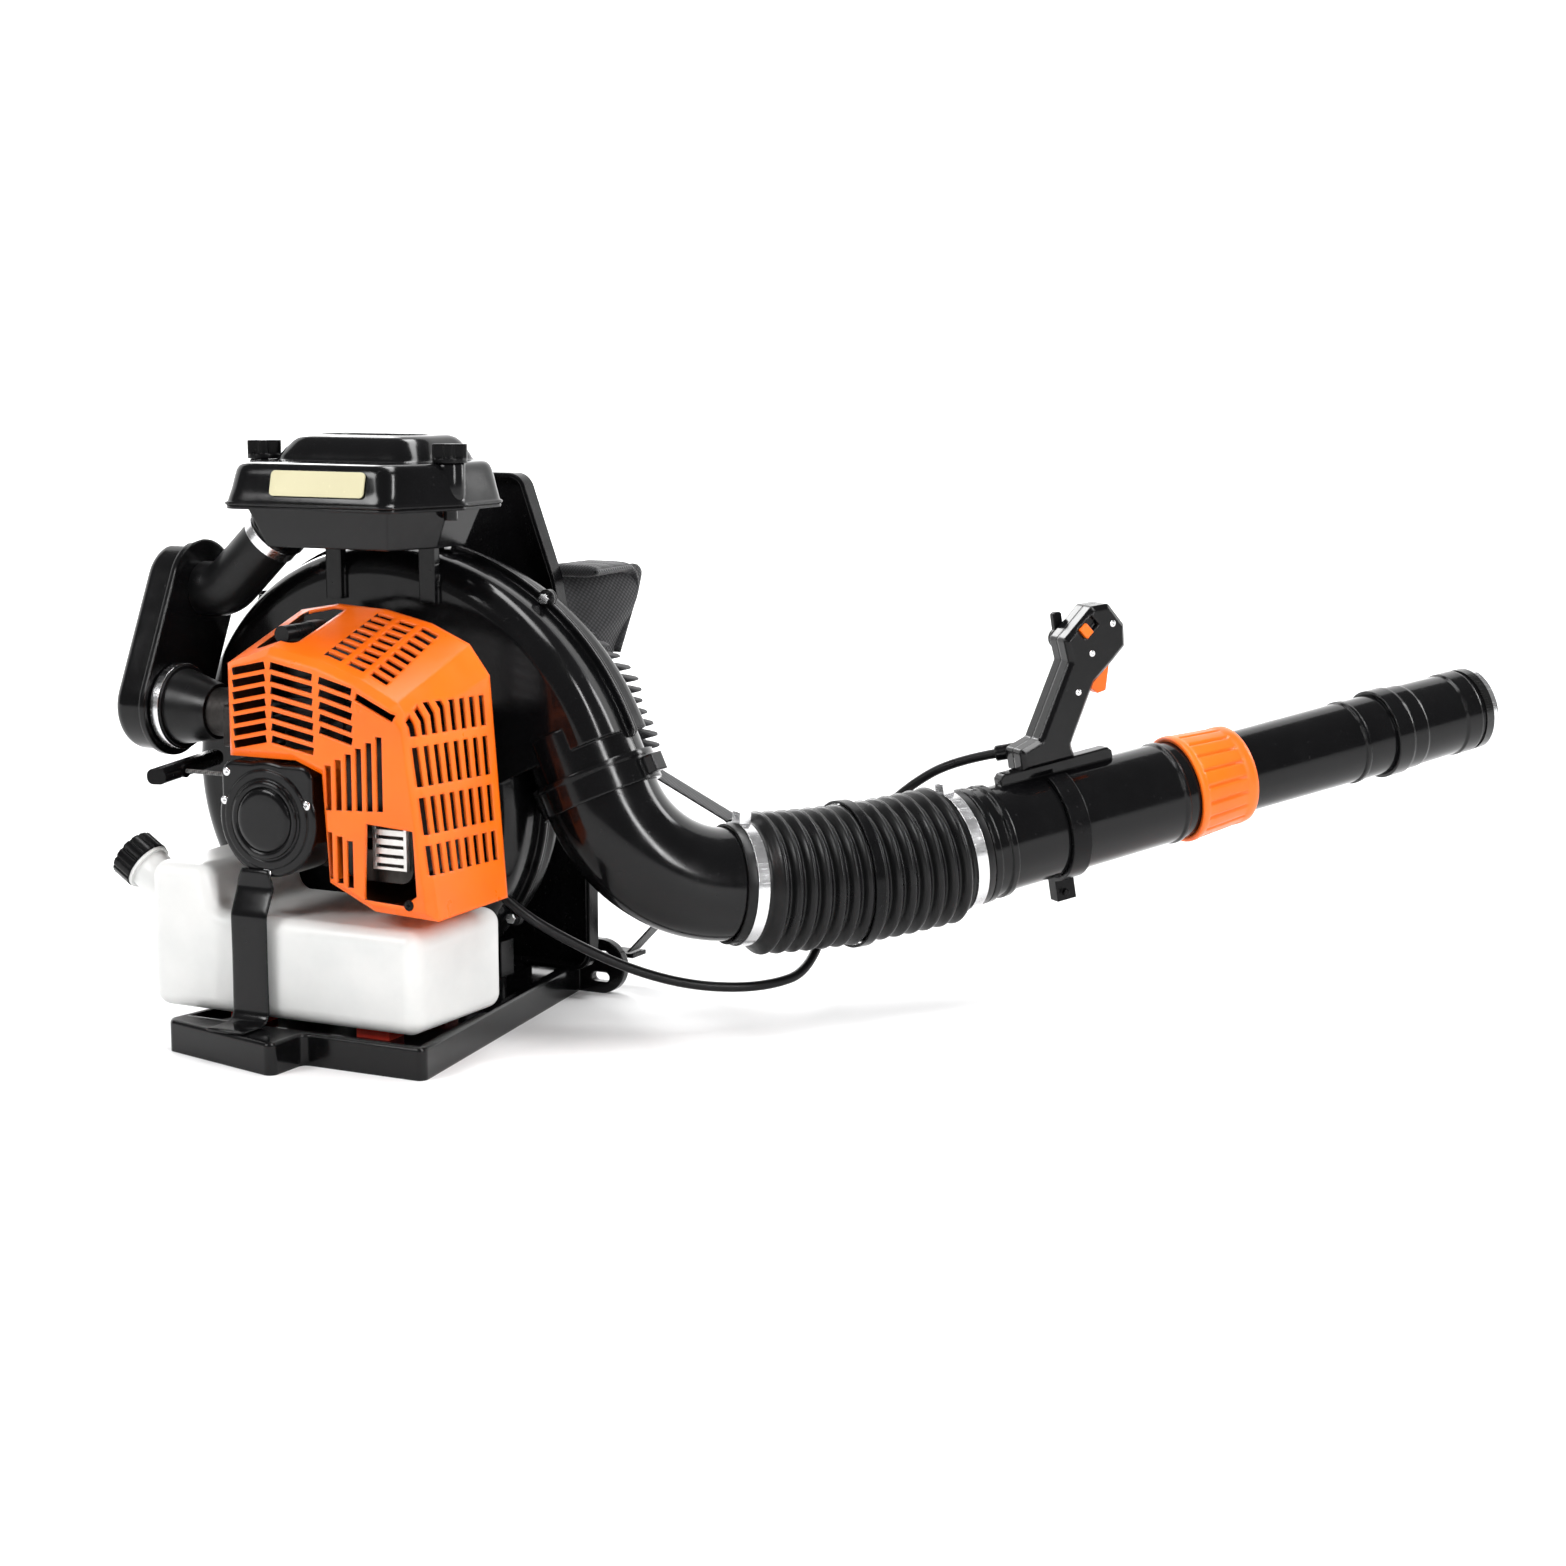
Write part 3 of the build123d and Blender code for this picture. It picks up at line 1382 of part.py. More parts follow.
clip_plane = hose_plane(0.5)
eye_place = clip_plane.from_local_coords(
    Vector(eye_reach * cos(radians(eye_angle)), eye_reach * sin(radians(eye_angle)), 0)
)
eye_way = Vector(*eye_direction).normalized()
with BuildPart() as cable_clip:
    with BuildSketch(clip_plane.offset(-clip_width / 2)):
        Circle(bellows_crest + touch + 2.5)
        with Locations(Location((0, 0, 0), (0, 0, eye_angle))):
            with Locations((bellows_crest + 7, 0)):
                Rectangle(10, 9)
        Circle(bellows_crest + touch, mode=Mode.SUBTRACT)
    extrude(amount=clip_width)
    with BuildSketch(Plane(origin=eye_place, z_dir=eye_way)):
        Circle(cable_radius + 3)
    extrude(amount=eye_length / 2, both=True)
save(cable_clip.part, "cable_clip")


# ---------------------------------------------------------------- blow tube
def station(s):
    """Plane square to the blow tube at a station along its axis."""
    return ring_plane(hose_end + tube_way * s, tube_way)


def height_plane(t):
    """Plane along the blow tube's axis and upwards, shifted across the tube towards the front."""
    return Plane(origin=hose_end - across_hose * t, x_dir=tube_way, z_dir=-across_hose)


with BuildPart() as swivel_tube:
    with BuildSketch(height_plane(0)):
        with BuildLine():
            Polyline(
                (-cuff_insert + 3, 0),
                (-cuff_insert + 3, swivel_radius),
                (14, swivel_radius),
                (15, swivel_radius + 3),
                (22, swivel_radius + 3),
                (23, swivel_radius),
                (33, swivel_radius),
                (34, swivel_radius + 2),
                (40, swivel_radius + 2),
                (41, swivel_waist),
                (226, swivel_mouth + 0.5),
                (227, swivel_mouth + 2),
                (231, swivel_mouth + 2),
                (232, swivel_mouth),
                (swivel_end, swivel_mouth - 1),
                (swivel_end, 0),
                close=True,
            )
        make_face()
    revolve(axis=Axis(hose_end, tube_way))
    with BuildSketch(height_plane(rail_width / 2)):
        with BuildLine():
            Polyline(
                (rail_start, rail_root),
                (rail_start, rail_top - 4),
                (rail_start + 4, rail_top),
                (rail_end - 4, rail_top),
                (rail_end, rail_top - 4),
                (rail_end, rail_root),
                close=True,
            )
        make_face()
    extrude(amount=-rail_width)
    with BuildSketch(station(-cuff_insert)):
        Circle(swivel_radius - wall - 4)
    extrude(amount=190, mode=Mode.SUBTRACT)
    with BuildSketch(station(0)):
        Circle(tube_radius + slip)
    extrude(amount=swivel_end + 10, mode=Mode.SUBTRACT)
save(swivel_tube.part, "swivel_tube")

with BuildPart() as locking_collar:
    with BuildSketch(height_plane(0)):
        with BuildLine():
            Polyline(
                (collar_start, swivel_mouth + slip),
                (collar_start, collar_rear),
                (collar_start + 12, collar_rear),
                (collar_start + 14, collar_rear - 2),
                (collar_start + collar_length - 8, collar_front),
                (collar_start + collar_length, collar_front - 2),
                (collar_start + collar_length, tube_radius + touch),
                (swivel_end + touch, tube_radius + touch),
                (swivel_end + touch, swivel_mouth + slip),
                close=True,
            )
        make_face()
    revolve(axis=Axis(hose_end, tube_way))
    with BuildSketch(station(collar_start + 16)):
        with PolarLocations(collar_rear + 1.5, 20):
            Rectangle(7, 5)
    extrude(amount=collar_length - 26, mode=Mode.SUBTRACT)
save(locking_collar.part, "locking_collar")

with BuildPart() as straight_tube:
    with BuildSketch(station(tube_start)):
        Circle(tube_radius)
        Circle(tube_radius - tube_wall, mode=Mode.SUBTRACT)
    extrude(amount=tube_end - tube_start)
    with BuildSketch(station(tube_ring)):
        Circle(tube_radius + 1.5)
        Circle(tube_radius - tube_wall, mode=Mode.SUBTRACT)
    extrude(amount=5)
save(straight_tube.part, "straight_tube")

with BuildPart() as nozzle:
    with BuildSketch(height_plane(0)):
        with BuildLine():
            Polyline(
                (nozzle_start, tube_radius + slip),
                (nozzle_start, tube_radius + 4),
                (nozzle_start + 18, tube_radius + 4),
                (nozzle_start + 20, tube_radius + 2),
                (nozzle_start + 36, tube_radius + 2),
                (nozzle_start + 38, tube_radius + 1),
                (nozzle_end - 39, tube_radius),
                (nozzle_end - 37, tube_radius + 1.5),
                (nozzle_end - 20, tube_radius + 1.5),
                (nozzle_end - 19, tube_radius - 0.5),
                (nozzle_end, tube_radius - 0.5),
                (nozzle_end, tube_radius - 3.5),
                (tube_end + touch, tube_radius - 3.5),
                (tube_end + touch, tube_radius + slip),
                close=True,
            )
        make_face()
    revolve(axis=Axis(hose_end, tube_way))
save(nozzle.part, "nozzle")

with BuildPart() as nozzle_band:
    with BuildSketch(station(nozzle_end - 15)):
        Circle(tube_radius + 1)
        Circle(tube_radius - 0.5 + slip, mode=Mode.SUBTRACT)
    extrude(amount=13)
save(nozzle_band.part, "nozzle_band")


# ---------------------------------------------------------------- control handle
with BuildPart() as handle_clamp:
    with BuildSketch(station(handle_clamp_start)):
        Circle(swivel_radius + 2)
        with Locations((0, -swivel_radius - 10)):
            Rectangle(14, 24)
        Circle(swivel_waist + slip, mode=Mode.SUBTRACT)
        with Locations((0, rail_top)):
            Rectangle(handle_thickness + 4, 2 * (rail_top - rail_root), mode=Mode.SUBTRACT)
    extrude(amount=handle_clamp_end - handle_clamp_start)
    with BuildSketch(height_plane(-12)):
        with Locations((handle_clamp_start + 8, -swivel_radius - 14)):
            Circle(3)
    extrude(amount=24)
save(handle_clamp.part, "handle_clamp")

with BuildSketch() as handle_outline:
    with BuildLine():
        Polyline(
            (76, rail_top),
            (76, 80),
            (98, 86),
            (140, 151),
            (138, 172),
            (172, 197),
            (190, 196),
            (204, 173),
            (202, 153),
            (186, 141),
            (164, 126),
            (131, 74),
            (133, rail_top),
            close=True,
        )
    make_face()
    fillet(handle_outline.vertices().sort_by(Axis.Y)[2:], radius=4)

with BuildSketch() as trigger_pocket:
    with BuildLine():
        Polyline((154, 152), (188, 152), (196, 132), (164, 100), (150, 118), close=True)
    make_face()

half_thickness = handle_thickness / 2
for side, name in ((1, "right"), (-1, "left")):
    with BuildPart() as handle_half:
        with BuildSketch(height_plane(0)):
            add(handle_outline.sketch)
        extrude(amount=side * half_thickness)
        outer_face = handle_half.faces().sort_by(Axis(hose_end, across_hose * -side))[-1]
        chamfer(outer_face.edges(), length=4)
        with BuildSketch(height_plane(0)):
            add(trigger_pocket.sketch)
        extrude(amount=side * (trigger_width / 2 + touch), mode=Mode.SUBTRACT)
        with BuildSketch(height_plane(0)):
            with Locations((pivot_station, pivot_height)):
                Circle(pivot_radius + slip)
        extrude(amount=side * (trigger_width / 2 + 3), mode=Mode.SUBTRACT)
        if side > 0:
            with BuildSketch(height_plane(half_thickness)):
                with Locations((switch_station, switch_height)):
                    Rectangle(20, 12, rotation=handle_lean)
            extrude(amount=-6, mode=Mode.SUBTRACT)
        else:
            with BuildSketch(Plane(origin=grip_gland, z_dir=grip_gland_way)):
                Circle(gland_radius)
            extrude(amount=26)
            with BuildSketch(height_plane(-half_thickness)):
                with Locations((cruise_station, cruise_height)):
                    Circle(pivot_radius + slip)
            extrude(amount=8, mode=Mode.SUBTRACT)
    save(handle_half.part, f"handle_{name}_half")

with BuildPart() as throttle_trigger:
    with BuildSketch(height_plane(-trigger_width / 2)):
        with BuildLine():
            Polyline(
                (160, 150),
                (176, 148),
                (187, 137),
                (180, 114),
                (171, 113),
                (160, 124),
                (157, 138),
                close=True,
            )
        make_face()
    extrude(amount=trigger_width)
    with BuildSketch(height_plane(-trigger_width / 2 - 2.5)):
        with Locations((pivot_station, pivot_height)):
            Circle(pivot_radius)
    extrude(amount=trigger_width + 5)
save(throttle_trigger.part, "throttle_trigger")

with BuildPart() as stop_switch:
    with BuildSketch(height_plane(half_thickness - 5.7)):
        with Locations(
            (
                switch_station - switch_travel / 2 * cos(radians(handle_lean)),
                switch_height - switch_travel / 2 * sin(radians(handle_lean)),
            )
        ):
            Rectangle(9, 11, rotation=handle_lean)
    extrude(amount=9)
save(stop_switch.part, "stop_switch")

with BuildPart() as cruise_lever:
    with BuildSketch(height_plane(-half_thickness + 7)):
        with Locations((cruise_station, cruise_height)):
            Circle(pivot_radius)
    extrude(amount=-7 - touch)
    with BuildSketch(height_plane(-half_thickness - touch)):
        with Locations((cruise_station, cruise_height)):
            Circle(10)
            with Locations((0, 12)):
                RectangleRounded(9, 26, 3)
    extrude(amount=-6)
save(cruise_lever.part, "cruise_lever")


# ---------------------------------------------------------------- throttle cable
def cable(points, label):
    """Round cable along straight runs joined by tangent arcs, with its radii printed."""
    ways = [b - a for a, b in zip(points, points[1:])]
    radii = []
    for before, after in zip(ways, ways[1:]):
        half_turn = radians(before.get_angle(after)) / 2
        radii.append(0.45 * min(before.length, after.length) / tan(half_turn))
    print(label, "radii", [round(radius, 1) for radius in radii])
    with BuildPart() as run:
        with BuildLine():
            FilletPolyline(*points, radius=radii)
        with BuildSketch(Plane(origin=points[0], z_dir=ways[0])):
            Circle(cable_radius)
        sweep()
    print(label, "length", round(run.part.volume / (3.14159265 * cable_radius**2), 1))
    save(run.part, label)


eye_rear = eye_place - eye_way * eye_length / 2
eye_front = eye_place + eye_way * eye_length / 2
cable(
    [
        volute_gland,
        Vector(125, -12.5, 119.5),
        Vector(160, 24, 86),
        Vector(203, 66, 55),
        Vector(246, 108, 37),
        Vector(290, 152, 33),
        eye_rear - eye_way * 48,
        eye_rear,
    ],
    "throttle_cable_lower",
)
cable(
    [
        eye_front,
        eye_front + eye_way * 40,
        Vector(312, 312, 158),
        Vector(345, 340, 196),
        Vector(384, 354, 220),
        grip_gland,
    ],
    "throttle_cable_upper",
)
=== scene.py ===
import json
import math

import bmesh
import bpy
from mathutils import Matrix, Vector


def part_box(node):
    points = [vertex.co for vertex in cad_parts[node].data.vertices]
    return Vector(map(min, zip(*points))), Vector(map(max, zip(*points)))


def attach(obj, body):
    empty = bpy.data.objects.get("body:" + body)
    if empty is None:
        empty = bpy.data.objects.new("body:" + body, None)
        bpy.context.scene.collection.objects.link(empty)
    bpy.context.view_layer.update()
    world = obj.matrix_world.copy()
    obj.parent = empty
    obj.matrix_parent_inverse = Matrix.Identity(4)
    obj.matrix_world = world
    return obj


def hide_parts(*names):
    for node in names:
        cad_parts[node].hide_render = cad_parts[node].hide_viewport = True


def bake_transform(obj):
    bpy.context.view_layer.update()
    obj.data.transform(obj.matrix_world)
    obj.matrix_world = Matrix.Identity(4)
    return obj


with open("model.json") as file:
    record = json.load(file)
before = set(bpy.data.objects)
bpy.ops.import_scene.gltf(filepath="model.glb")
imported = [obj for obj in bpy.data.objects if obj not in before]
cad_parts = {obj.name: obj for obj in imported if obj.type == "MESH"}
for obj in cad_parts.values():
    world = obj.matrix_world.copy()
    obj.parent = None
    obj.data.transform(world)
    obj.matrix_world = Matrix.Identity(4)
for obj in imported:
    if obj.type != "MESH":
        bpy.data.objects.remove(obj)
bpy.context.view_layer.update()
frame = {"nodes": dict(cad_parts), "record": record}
nodes = frame["nodes"]
scene = bpy.context.scene


# ---------------------------------------------------------------- shared values
MM = 0.001
UP = Vector((0, 0, 1))
X_WAY = Vector((1, 0, 0))
Y_WAY = Vector((0, 1, 0))
hose_azimuth = math.radians(52.0)
hose_start_pitch = math.radians(-3.0)
hose_end_pitch = math.radians(9.75)


def mm(*point):
    return Vector(point) * MM


def link(name, data):
    made = bpy.data.objects.new(name, data)
    scene.collection.objects.link(made)
    return made


# ---------------------------------------------------------------- camera
camera_data = bpy.data.cameras.new("camera")
camera_data.lens = 65.5
camera_data.sensor_width = 36.0
camera_data.clip_end = 50.0
camera = link("camera", camera_data)
camera.location = (1.4499, -2.0950, 0.6200)
camera.rotation_euler = Vector((-0.448, 0.880, -0.156)).to_track_quat("-Z", "Y").to_euler()
scene.camera = camera


# ---------------------------------------------------------------- cord routes
def nurbs_curve(name, points, radius):
    """Curve object of one open NURBS spline through the route's control points."""
    data = bpy.data.curves.new(name, "CURVE")
    data.dimensions = "3D"
    data.resolution_u = 10
    data.bevel_depth = radius
    data.bevel_resolution = 5
    data.use_fill_caps = True
    spline = data.splines.new("NURBS")
    spline.points.add(len(points) - 1)
    for point, place in zip(spline.points, points):
        point.co = (*place, 1)
    spline.order_u = 3
    spline.use_endpoint_u = True
    return link(name, data)


def cord_mesh(name, points, radius):
    """Mesh tube along the route's NURBS spline, and the points of its centreline."""
    curve = nurbs_curve(name + "_line", points, 0.0)
    curve.data.use_fill_caps = False
    depsgraph = bpy.context.evaluated_depsgraph_get()
    line = bpy.data.meshes.new_from_object(curve.evaluated_get(depsgraph))
    path = [vertex.co.copy() for vertex in line.vertices]
    curve.data.bevel_depth = radius
    curve.data.use_fill_caps = True
    depsgraph = bpy.context.evaluated_depsgraph_get()
    tube = bpy.data.meshes.new_from_object(curve.evaluated_get(depsgraph))
    bpy.data.objects.remove(curve)
    tube.shade_smooth()
    return link(name, tube), path


cable_radius = 0.0045
eye_place = mm(302.043, 246.8, 78.033)
eye_way = Vector((-0.118, 0.718, 0.686)).normalized()
eye_rear = eye_place - eye_way * 0.008
eye_front = eye_place + eye_way * 0.008
lower_points = [
    mm(92, -8, 142),
    mm(125, -12.5, 119.5),
    mm(160, 24, 86),
    mm(203, 66, 55),
    mm(246, 108, 37),
    mm(290, 152, 33),
    eye_rear - eye_way * 0.048,
    eye_rear,
]
upper_points = [
    eye_front,
    eye_front + eye_way * 0.040,
    mm(312, 312, 158),
    mm(345, 340, 196),
    mm(384, 354, 220),
    mm(425, 361, 229),
]
cable_lower, lower_path = cord_mesh("cable_lower", lower_points, cable_radius)
cable_upper, upper_path = cord_mesh("cable_upper", upper_points, cable_radius)
rope_radius = 0.0019
rope_points = [mm(x, -110, 236.5) for x in (-154, -130, -100, -72)]
rope, rope_path = cord_mesh("pull_rope", rope_points, rope_radius)


# ---------------------------------------------------------------- materials
class Shader:
    """Node tree of one material, with the object's own coordinates at hand."""

    def __init__(self, name):
        self.material = bpy.data.materials.new(name)
        self.material.use_nodes = True
        self.tree = self.material.node_tree
        self.bsdf = self.tree.nodes["Principled BSDF"]
        self.place = self.tree.nodes.new("ShaderNodeTexCoord").outputs["Object"]
        self.normal = None

    def node(self, kind, **inputs):
        made = self.tree.nodes.new(kind)
        for key, value in inputs.items():
            self.put(made.inputs[key.replace("_", " ")], value)
        return made

    def put(self, socket, value):
        if isinstance(value, bpy.types.NodeSocket):
            self.tree.links.new(value, socket)
        else:
            socket.default_value = value

    def noise(self, scale, detail=3.0, stretch=None):
        place = self.place
        if stretch:
            mapping = self.node("ShaderNodeMapping", Vector=place, Scale=stretch)
            place = mapping.outputs["Vector"]
        return self.node("ShaderNodeTexNoise", Vector=place, Scale=scale, Detail=detail).outputs["Fac"]

    def span(self, value, low, high, start=0.3, end=0.7):
        made = self.node("ShaderNodeMapRange", Value=value)
        for key, number in (("From Min", start), ("From Max", end), ("To Min", low), ("To Max", high)):
            made.inputs[key].default_value = number
        return made.outputs["Result"]

    def mix(self, factor, first, second, kind="MIX"):
        made = self.tree.nodes.new("ShaderNodeMix")
        made.data_type = "RGBA"
        made.blend_type = kind
        self.put(made.inputs[0], factor)
        self.put(made.inputs[6], first)
        self.put(made.inputs[7], second)
        return made.outputs[2]

    def math(self, kind, first, second=0.5):
        made = self.tree.nodes.new("ShaderNodeMath")
        made.operation = kind
        self.put(made.inputs[0], first)
        self.put(made.inputs[1], second)
        return made.outputs[0]

    def wave(self, scale, direction="X", distortion=0.0):
        made = self.node("ShaderNodeTexWave", Vector=self.place, Scale=scale, Distortion=distortion)
        made.bands_direction = direction
        return made.outputs["Fac"]

    def bump(self, height, distance, strength=1.0):
        made = self.node("ShaderNodeBump", Height=height, Distance=distance, Strength=strength)
        if self.normal is not None:
            self.put(made.inputs["Normal"], self.normal)
        self.normal = made.outputs["Normal"]

    def round_edges(self, radius):
        made = self.tree.nodes.new("ShaderNodeBevel")
        made.samples = 6
        made.inputs["Radius"].default_value = radius
        self.normal = made.outputs["Normal"]

    def finish(self, **sockets):
        for key, value in sockets.items():
            self.put(self.bsdf.inputs[key.replace("_", " ")], value)
        if self.normal is not None:
            self.put(self.bsdf.inputs["Normal"], self.normal)
        return self.material


def rgb(red, green, blue):
    return (red, green, blue, 1.0)


def shine(material, level):
    """Share of the usual mirror reflection that a dielectric surface keeps."""
    material.node_tree.nodes["Principled BSDF"].inputs["Specular IOR Level"].default_value = level


def moulded(name, colour, dark, rough, spread, grain=900, grain_depth=0.00006, edge=0.0008, **sockets):
    """Moulded plastic: faint mottling, handling smudges in the gloss and a fine moulded grain."""
    made = Shader(name)
    made.round_edges(edge)
    cloud = made.noise(14, 4)
    smudge = made.noise(42, 5)
    streak = made.noise(60, 3, (1, 1, 0.18))
    scuff = made.span(made.noise(260, 6), 0, 1, 0.66, 0.74)
    base = made.mix(made.span(cloud, 0, 1), colour, dark)
    lighter = tuple(min(1.0, c * 1.25 + 0.02) for c in colour[:3]) + (1.0,)
    base = made.mix(made.math("MULTIPLY", scuff, 0.30), base, lighter)
    soft = made.span(smudge, rough - spread, rough + spread)
    soft = made.math("ADD", soft, made.span(streak, -0.02, 0.04))
    soft = made.math("ADD", soft, made.math("MULTIPLY", scuff, 0.10))
    made.bump(made.noise(grain, 2), grain_depth, 0.5)
    made.bump(made.noise(30, 2), 0.0006, 0.12)
    return made.finish(Base_Color=base, Roughness=soft, **sockets)


def metal(name, colour, dark, rough, spread, stretch, grain=500, depth=0.00005, edge=0.0005):
    made = Shader(name)
    made.round_edges(edge)
    line = made.noise(grain, 3, stretch)
    cloud = made.noise(35, 5)
    base = made.mix(made.span(cloud, 0, 1, 0.35, 0.7), colour, dark)
    soft = made.span(line, rough - spread, rough + spread, 0.25, 0.75)
    made.bump(line, depth, 0.6)
    made.bsdf.inputs["Metallic"].default_value = 1.0
    return made.finish(Base_Color=base, Roughness=soft)


def woven(name, colour, light, pitch, depth, rough=0.85, along=("X", "Z")):
    """Plain weave of threads at a pitch in metres, with fuzz and worn lighter threads."""
    made = Shader(name)
    turns = 1.0 / (pitch * 20 / (2 * math.pi) * 2)
    warp = made.wave(turns, along[0], 0.4)
    weft = made.wave(turns, along[1], 0.4)
    over = made.math("MULTIPLY", warp, weft)
    under = made.math("MULTIPLY", made.math("SUBTRACT", 1.0, warp), made.math("SUBTRACT", 1.0, weft))
    weave = made.math("MAXIMUM", over, under)
    cloud = made.noise(22, 5)
    fuzz = made.noise(1400, 2)
    base = made.mix(made.math("MULTIPLY", weave, made.span(cloud, 0.35, 1.0)), colour, light)
    made.bump(weave, depth, 0.9)
    made.bump(fuzz, depth * 0.5, 0.5)
    made.bump(made.noise(60, 3), 0.0008, 0.25)
    made.bsdf.inputs["Sheen Weight"].default_value = 0.25
    made.bsdf.inputs["Sheen Roughness"].default_value = 0.5
    return made.finish(Base_Color=base, Roughness=made.span(cloud, rough - 0.08, rough + 0.08))


def rubber(name, colour, dark, rough=0.55, dust=0.10):
    made = Shader(name)
    made.round_edges(0.0006)
    cloud = made.noise(28, 5)
    bloom = made.span(made.noise(90, 6), 0, dust, 0.5, 0.8)
    base = made.mix(made.span(cloud, 0, 1), colour, dark)
    base = made.mix(bloom, base, rgb(0.16, 0.16, 0.17))
    made.bump(made.noise(1100, 2), 0.00005, 0.5)
    made.bump(made.noise(120, 3), 0.0003, 0.15)
    return made.finish(Base_Color=base, Roughness=made.span(cloud, rough - 0.09, rough + 0.09))


def tank_material():
    """Milky blow-moulded polyethylene: soft and faintly uneven."""
    made = Shader("milky_tank")
    made.round_edges(0.0015)
    cloud = made.noise(16, 4)
    base = made.mix(made.span(cloud, 0, 1), rgb(0.74, 0.74, 0.725), rgb(0.64, 0.65, 0.64))
    soft = made.span(made.noise(50, 4), 0.28, 0.42)
    made.bump(made.noise(24, 3), 0.0012, 0.25)
    made.bump(made.noise(700, 2), 0.00006, 0.4)
    made.bsdf.inputs["Subsurface Weight"].default_value = 0.35
    made.bsdf.inputs["Subsurface Radius"].default_value = (1.0, 1.0, 1.0)
    made.bsdf.inputs["Subsurface Scale"].default_value = 0.012
    return made.finish(Base_Color=base, Roughness=soft)


def muffler_material():
    """Heat-darkened steel, with the ribbed deflector in front of the body left bright."""
    made = Shader("muffler_steel")
    made.round_edges(0.0006)
    line = made.noise(500, 3, (1, 0.2, 0.2))
    cloud = made.noise(35, 5)
    forward = made.node("ShaderNodeSeparateXYZ", Vector=made.place).outputs["Y"]
    front = made.math("LESS_THAN", forward, -0.1345)
    bright = made.mix(made.span(cloud, 0, 1), rgb(0.80, 0.79, 0.77), rgb(0.62, 0.60, 0.57))
    dull = made.mix(made.span(cloud, 0, 1), rgb(0.050, 0.045, 0.042), rgb(0.020, 0.018, 0.017))
    made.bump(line, 0.00008, 0.6)
    made.bsdf.inputs["Metallic"].default_value = 1.0
    return made.finish(Base_Color=made.mix(front, dull, bright), Roughness=made.span(line, 0.28, 0.46))


orange_pair = (rgb(0.93, 0.150, 0.004), rgb(0.84, 0.120, 0.003))


def shell_material():
    """Orange moulding whose inner faces, turned towards the shell's middle, are painted near-black shade."""
    made = Shader("orange_shell_moulding")
    low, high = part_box("engine_shroud")
    middle = (Vector(low) + Vector(high)) / 2
    outward = made.node("ShaderNodeVectorMath", **{"Vector": made.place})
    outward.operation = "SUBTRACT"
    outward.inputs[1].default_value = (middle.x, 0.0, middle.z)
    facing = made.node("ShaderNodeVectorMath")
    facing.operation = "DOT_PRODUCT"
    made.put(facing.inputs[0], outward.outputs["Vector"])
    coordinates = made.node("ShaderNodeTexCoord")
    made.put(facing.inputs[1], coordinates.outputs["Normal"])
    # painted shade: faces turned towards the shell's middle are coloured near black
    painted_inner_shade = made.math("LESS_THAN", facing.outputs["Value"], -0.012)
    made.round_edges(0.004)
    cloud = made.noise(14, 4)
    outer = made.mix(made.span(cloud, 0, 1), *orange_pair)
    soft = made.span(made.noise(42, 5), 0.27, 0.41)
    made.bump(made.noise(700, 2), 0.00005, 0.5)
    made.bump(made.noise(30, 2), 0.0006, 0.12)
    return made.finish(Base_Color=made.mix(painted_inner_shade, outer, rgb(0.020, 0.006, 0.002)), Roughness=soft)


def band_material():
    """Near-black ring with one bright metallic line round it, near the mouth."""
    made = Shader("banded_ring")
    along = made.node("ShaderNodeVectorMath")
    along.operation = "DOT_PRODUCT"
    made.put(along.inputs[0], made.place)
    along.inputs[1].default_value = nozzle_way
    line = made.math("GREATER_THAN", along.outputs["Value"], nozzle_line)
    grain = made.noise(900, 3, (0.15, 0.15, 1))
    made.bump(grain, 0.00003, 0.6)
    made.put(made.bsdf.inputs["Metallic"], line)
    base = made.mix(line, rgb(0.004, 0.004, 0.004), rgb(0.80, 0.80, 0.81))
    return made.finish(Base_Color=base, Roughness=made.span(grain, 0.14, 0.30))


def foam_material():
    made = Shader("open_foam")
    cells = made.node("ShaderNodeTexVoronoi", Vector=made.place, Scale=420.0)
    distance = cells.outputs["Distance"]
    # painted shade: the colour darkens towards each cell's middle, where the bump sinks a pit
    base = made.mix(made.span(distance, 0, 1, 0.1, 0.6), rgb(0.008, 0.008, 0.008), rgb(0.07, 0.07, 0.075))
    made.bump(distance, 0.0012, 1.0)
    made.bump(made.noise(40, 4), 0.001, 0.3)
    return made.finish(Base_Color=base, Roughness=made.span(made.noise(70, 3), 0.8, 0.95))


nozzle_way = Vector(
    (
        math.cos(hose_azimuth) * math.cos(hose_end_pitch),
        math.sin(hose_azimuth) * math.cos(hose_end_pitch),
        math.sin(hose_end_pitch),
    )
)
band = nodes["nozzle_band"]
band_end = max(nozzle_way.dot(band.matrix_world @ vertex.co) for vertex in band.data.vertices)
nozzle_line = band_end - 0.0042
orange = moulded("orange_moulding", *orange_pair, 0.34, 0.07, 700, 0.00005, 0.003)
shine(orange, 0.35)
orange_shell = shell_material()
shine(orange_shell, 0.35)
satin_pair = (rgb(0.0042, 0.0042, 0.0046), rgb(0.0024, 0.0024, 0.0027))
satin_black = moulded("satin_black_moulding", *satin_pair, 0.22, 0.06, 800, 0.00006, 0.002)
shine(satin_black, 0.12)
gloss_pair = (rgb(0.0035, 0.0035, 0.0039), rgb(0.0020, 0.0020, 0.0023))
gloss_black = moulded("gloss_black_moulding", *gloss_pair, 0.13, 0.04, 500, 0.00002, 0.003)
shine(gloss_black, 0.24)
cream_pair = (rgb(0.56, 0.52, 0.33), rgb(0.51, 0.47, 0.29))
cream = moulded("cream_plate_moulding", *cream_pair, 0.38, 0.06, 600, 0.00004, 0.0006)
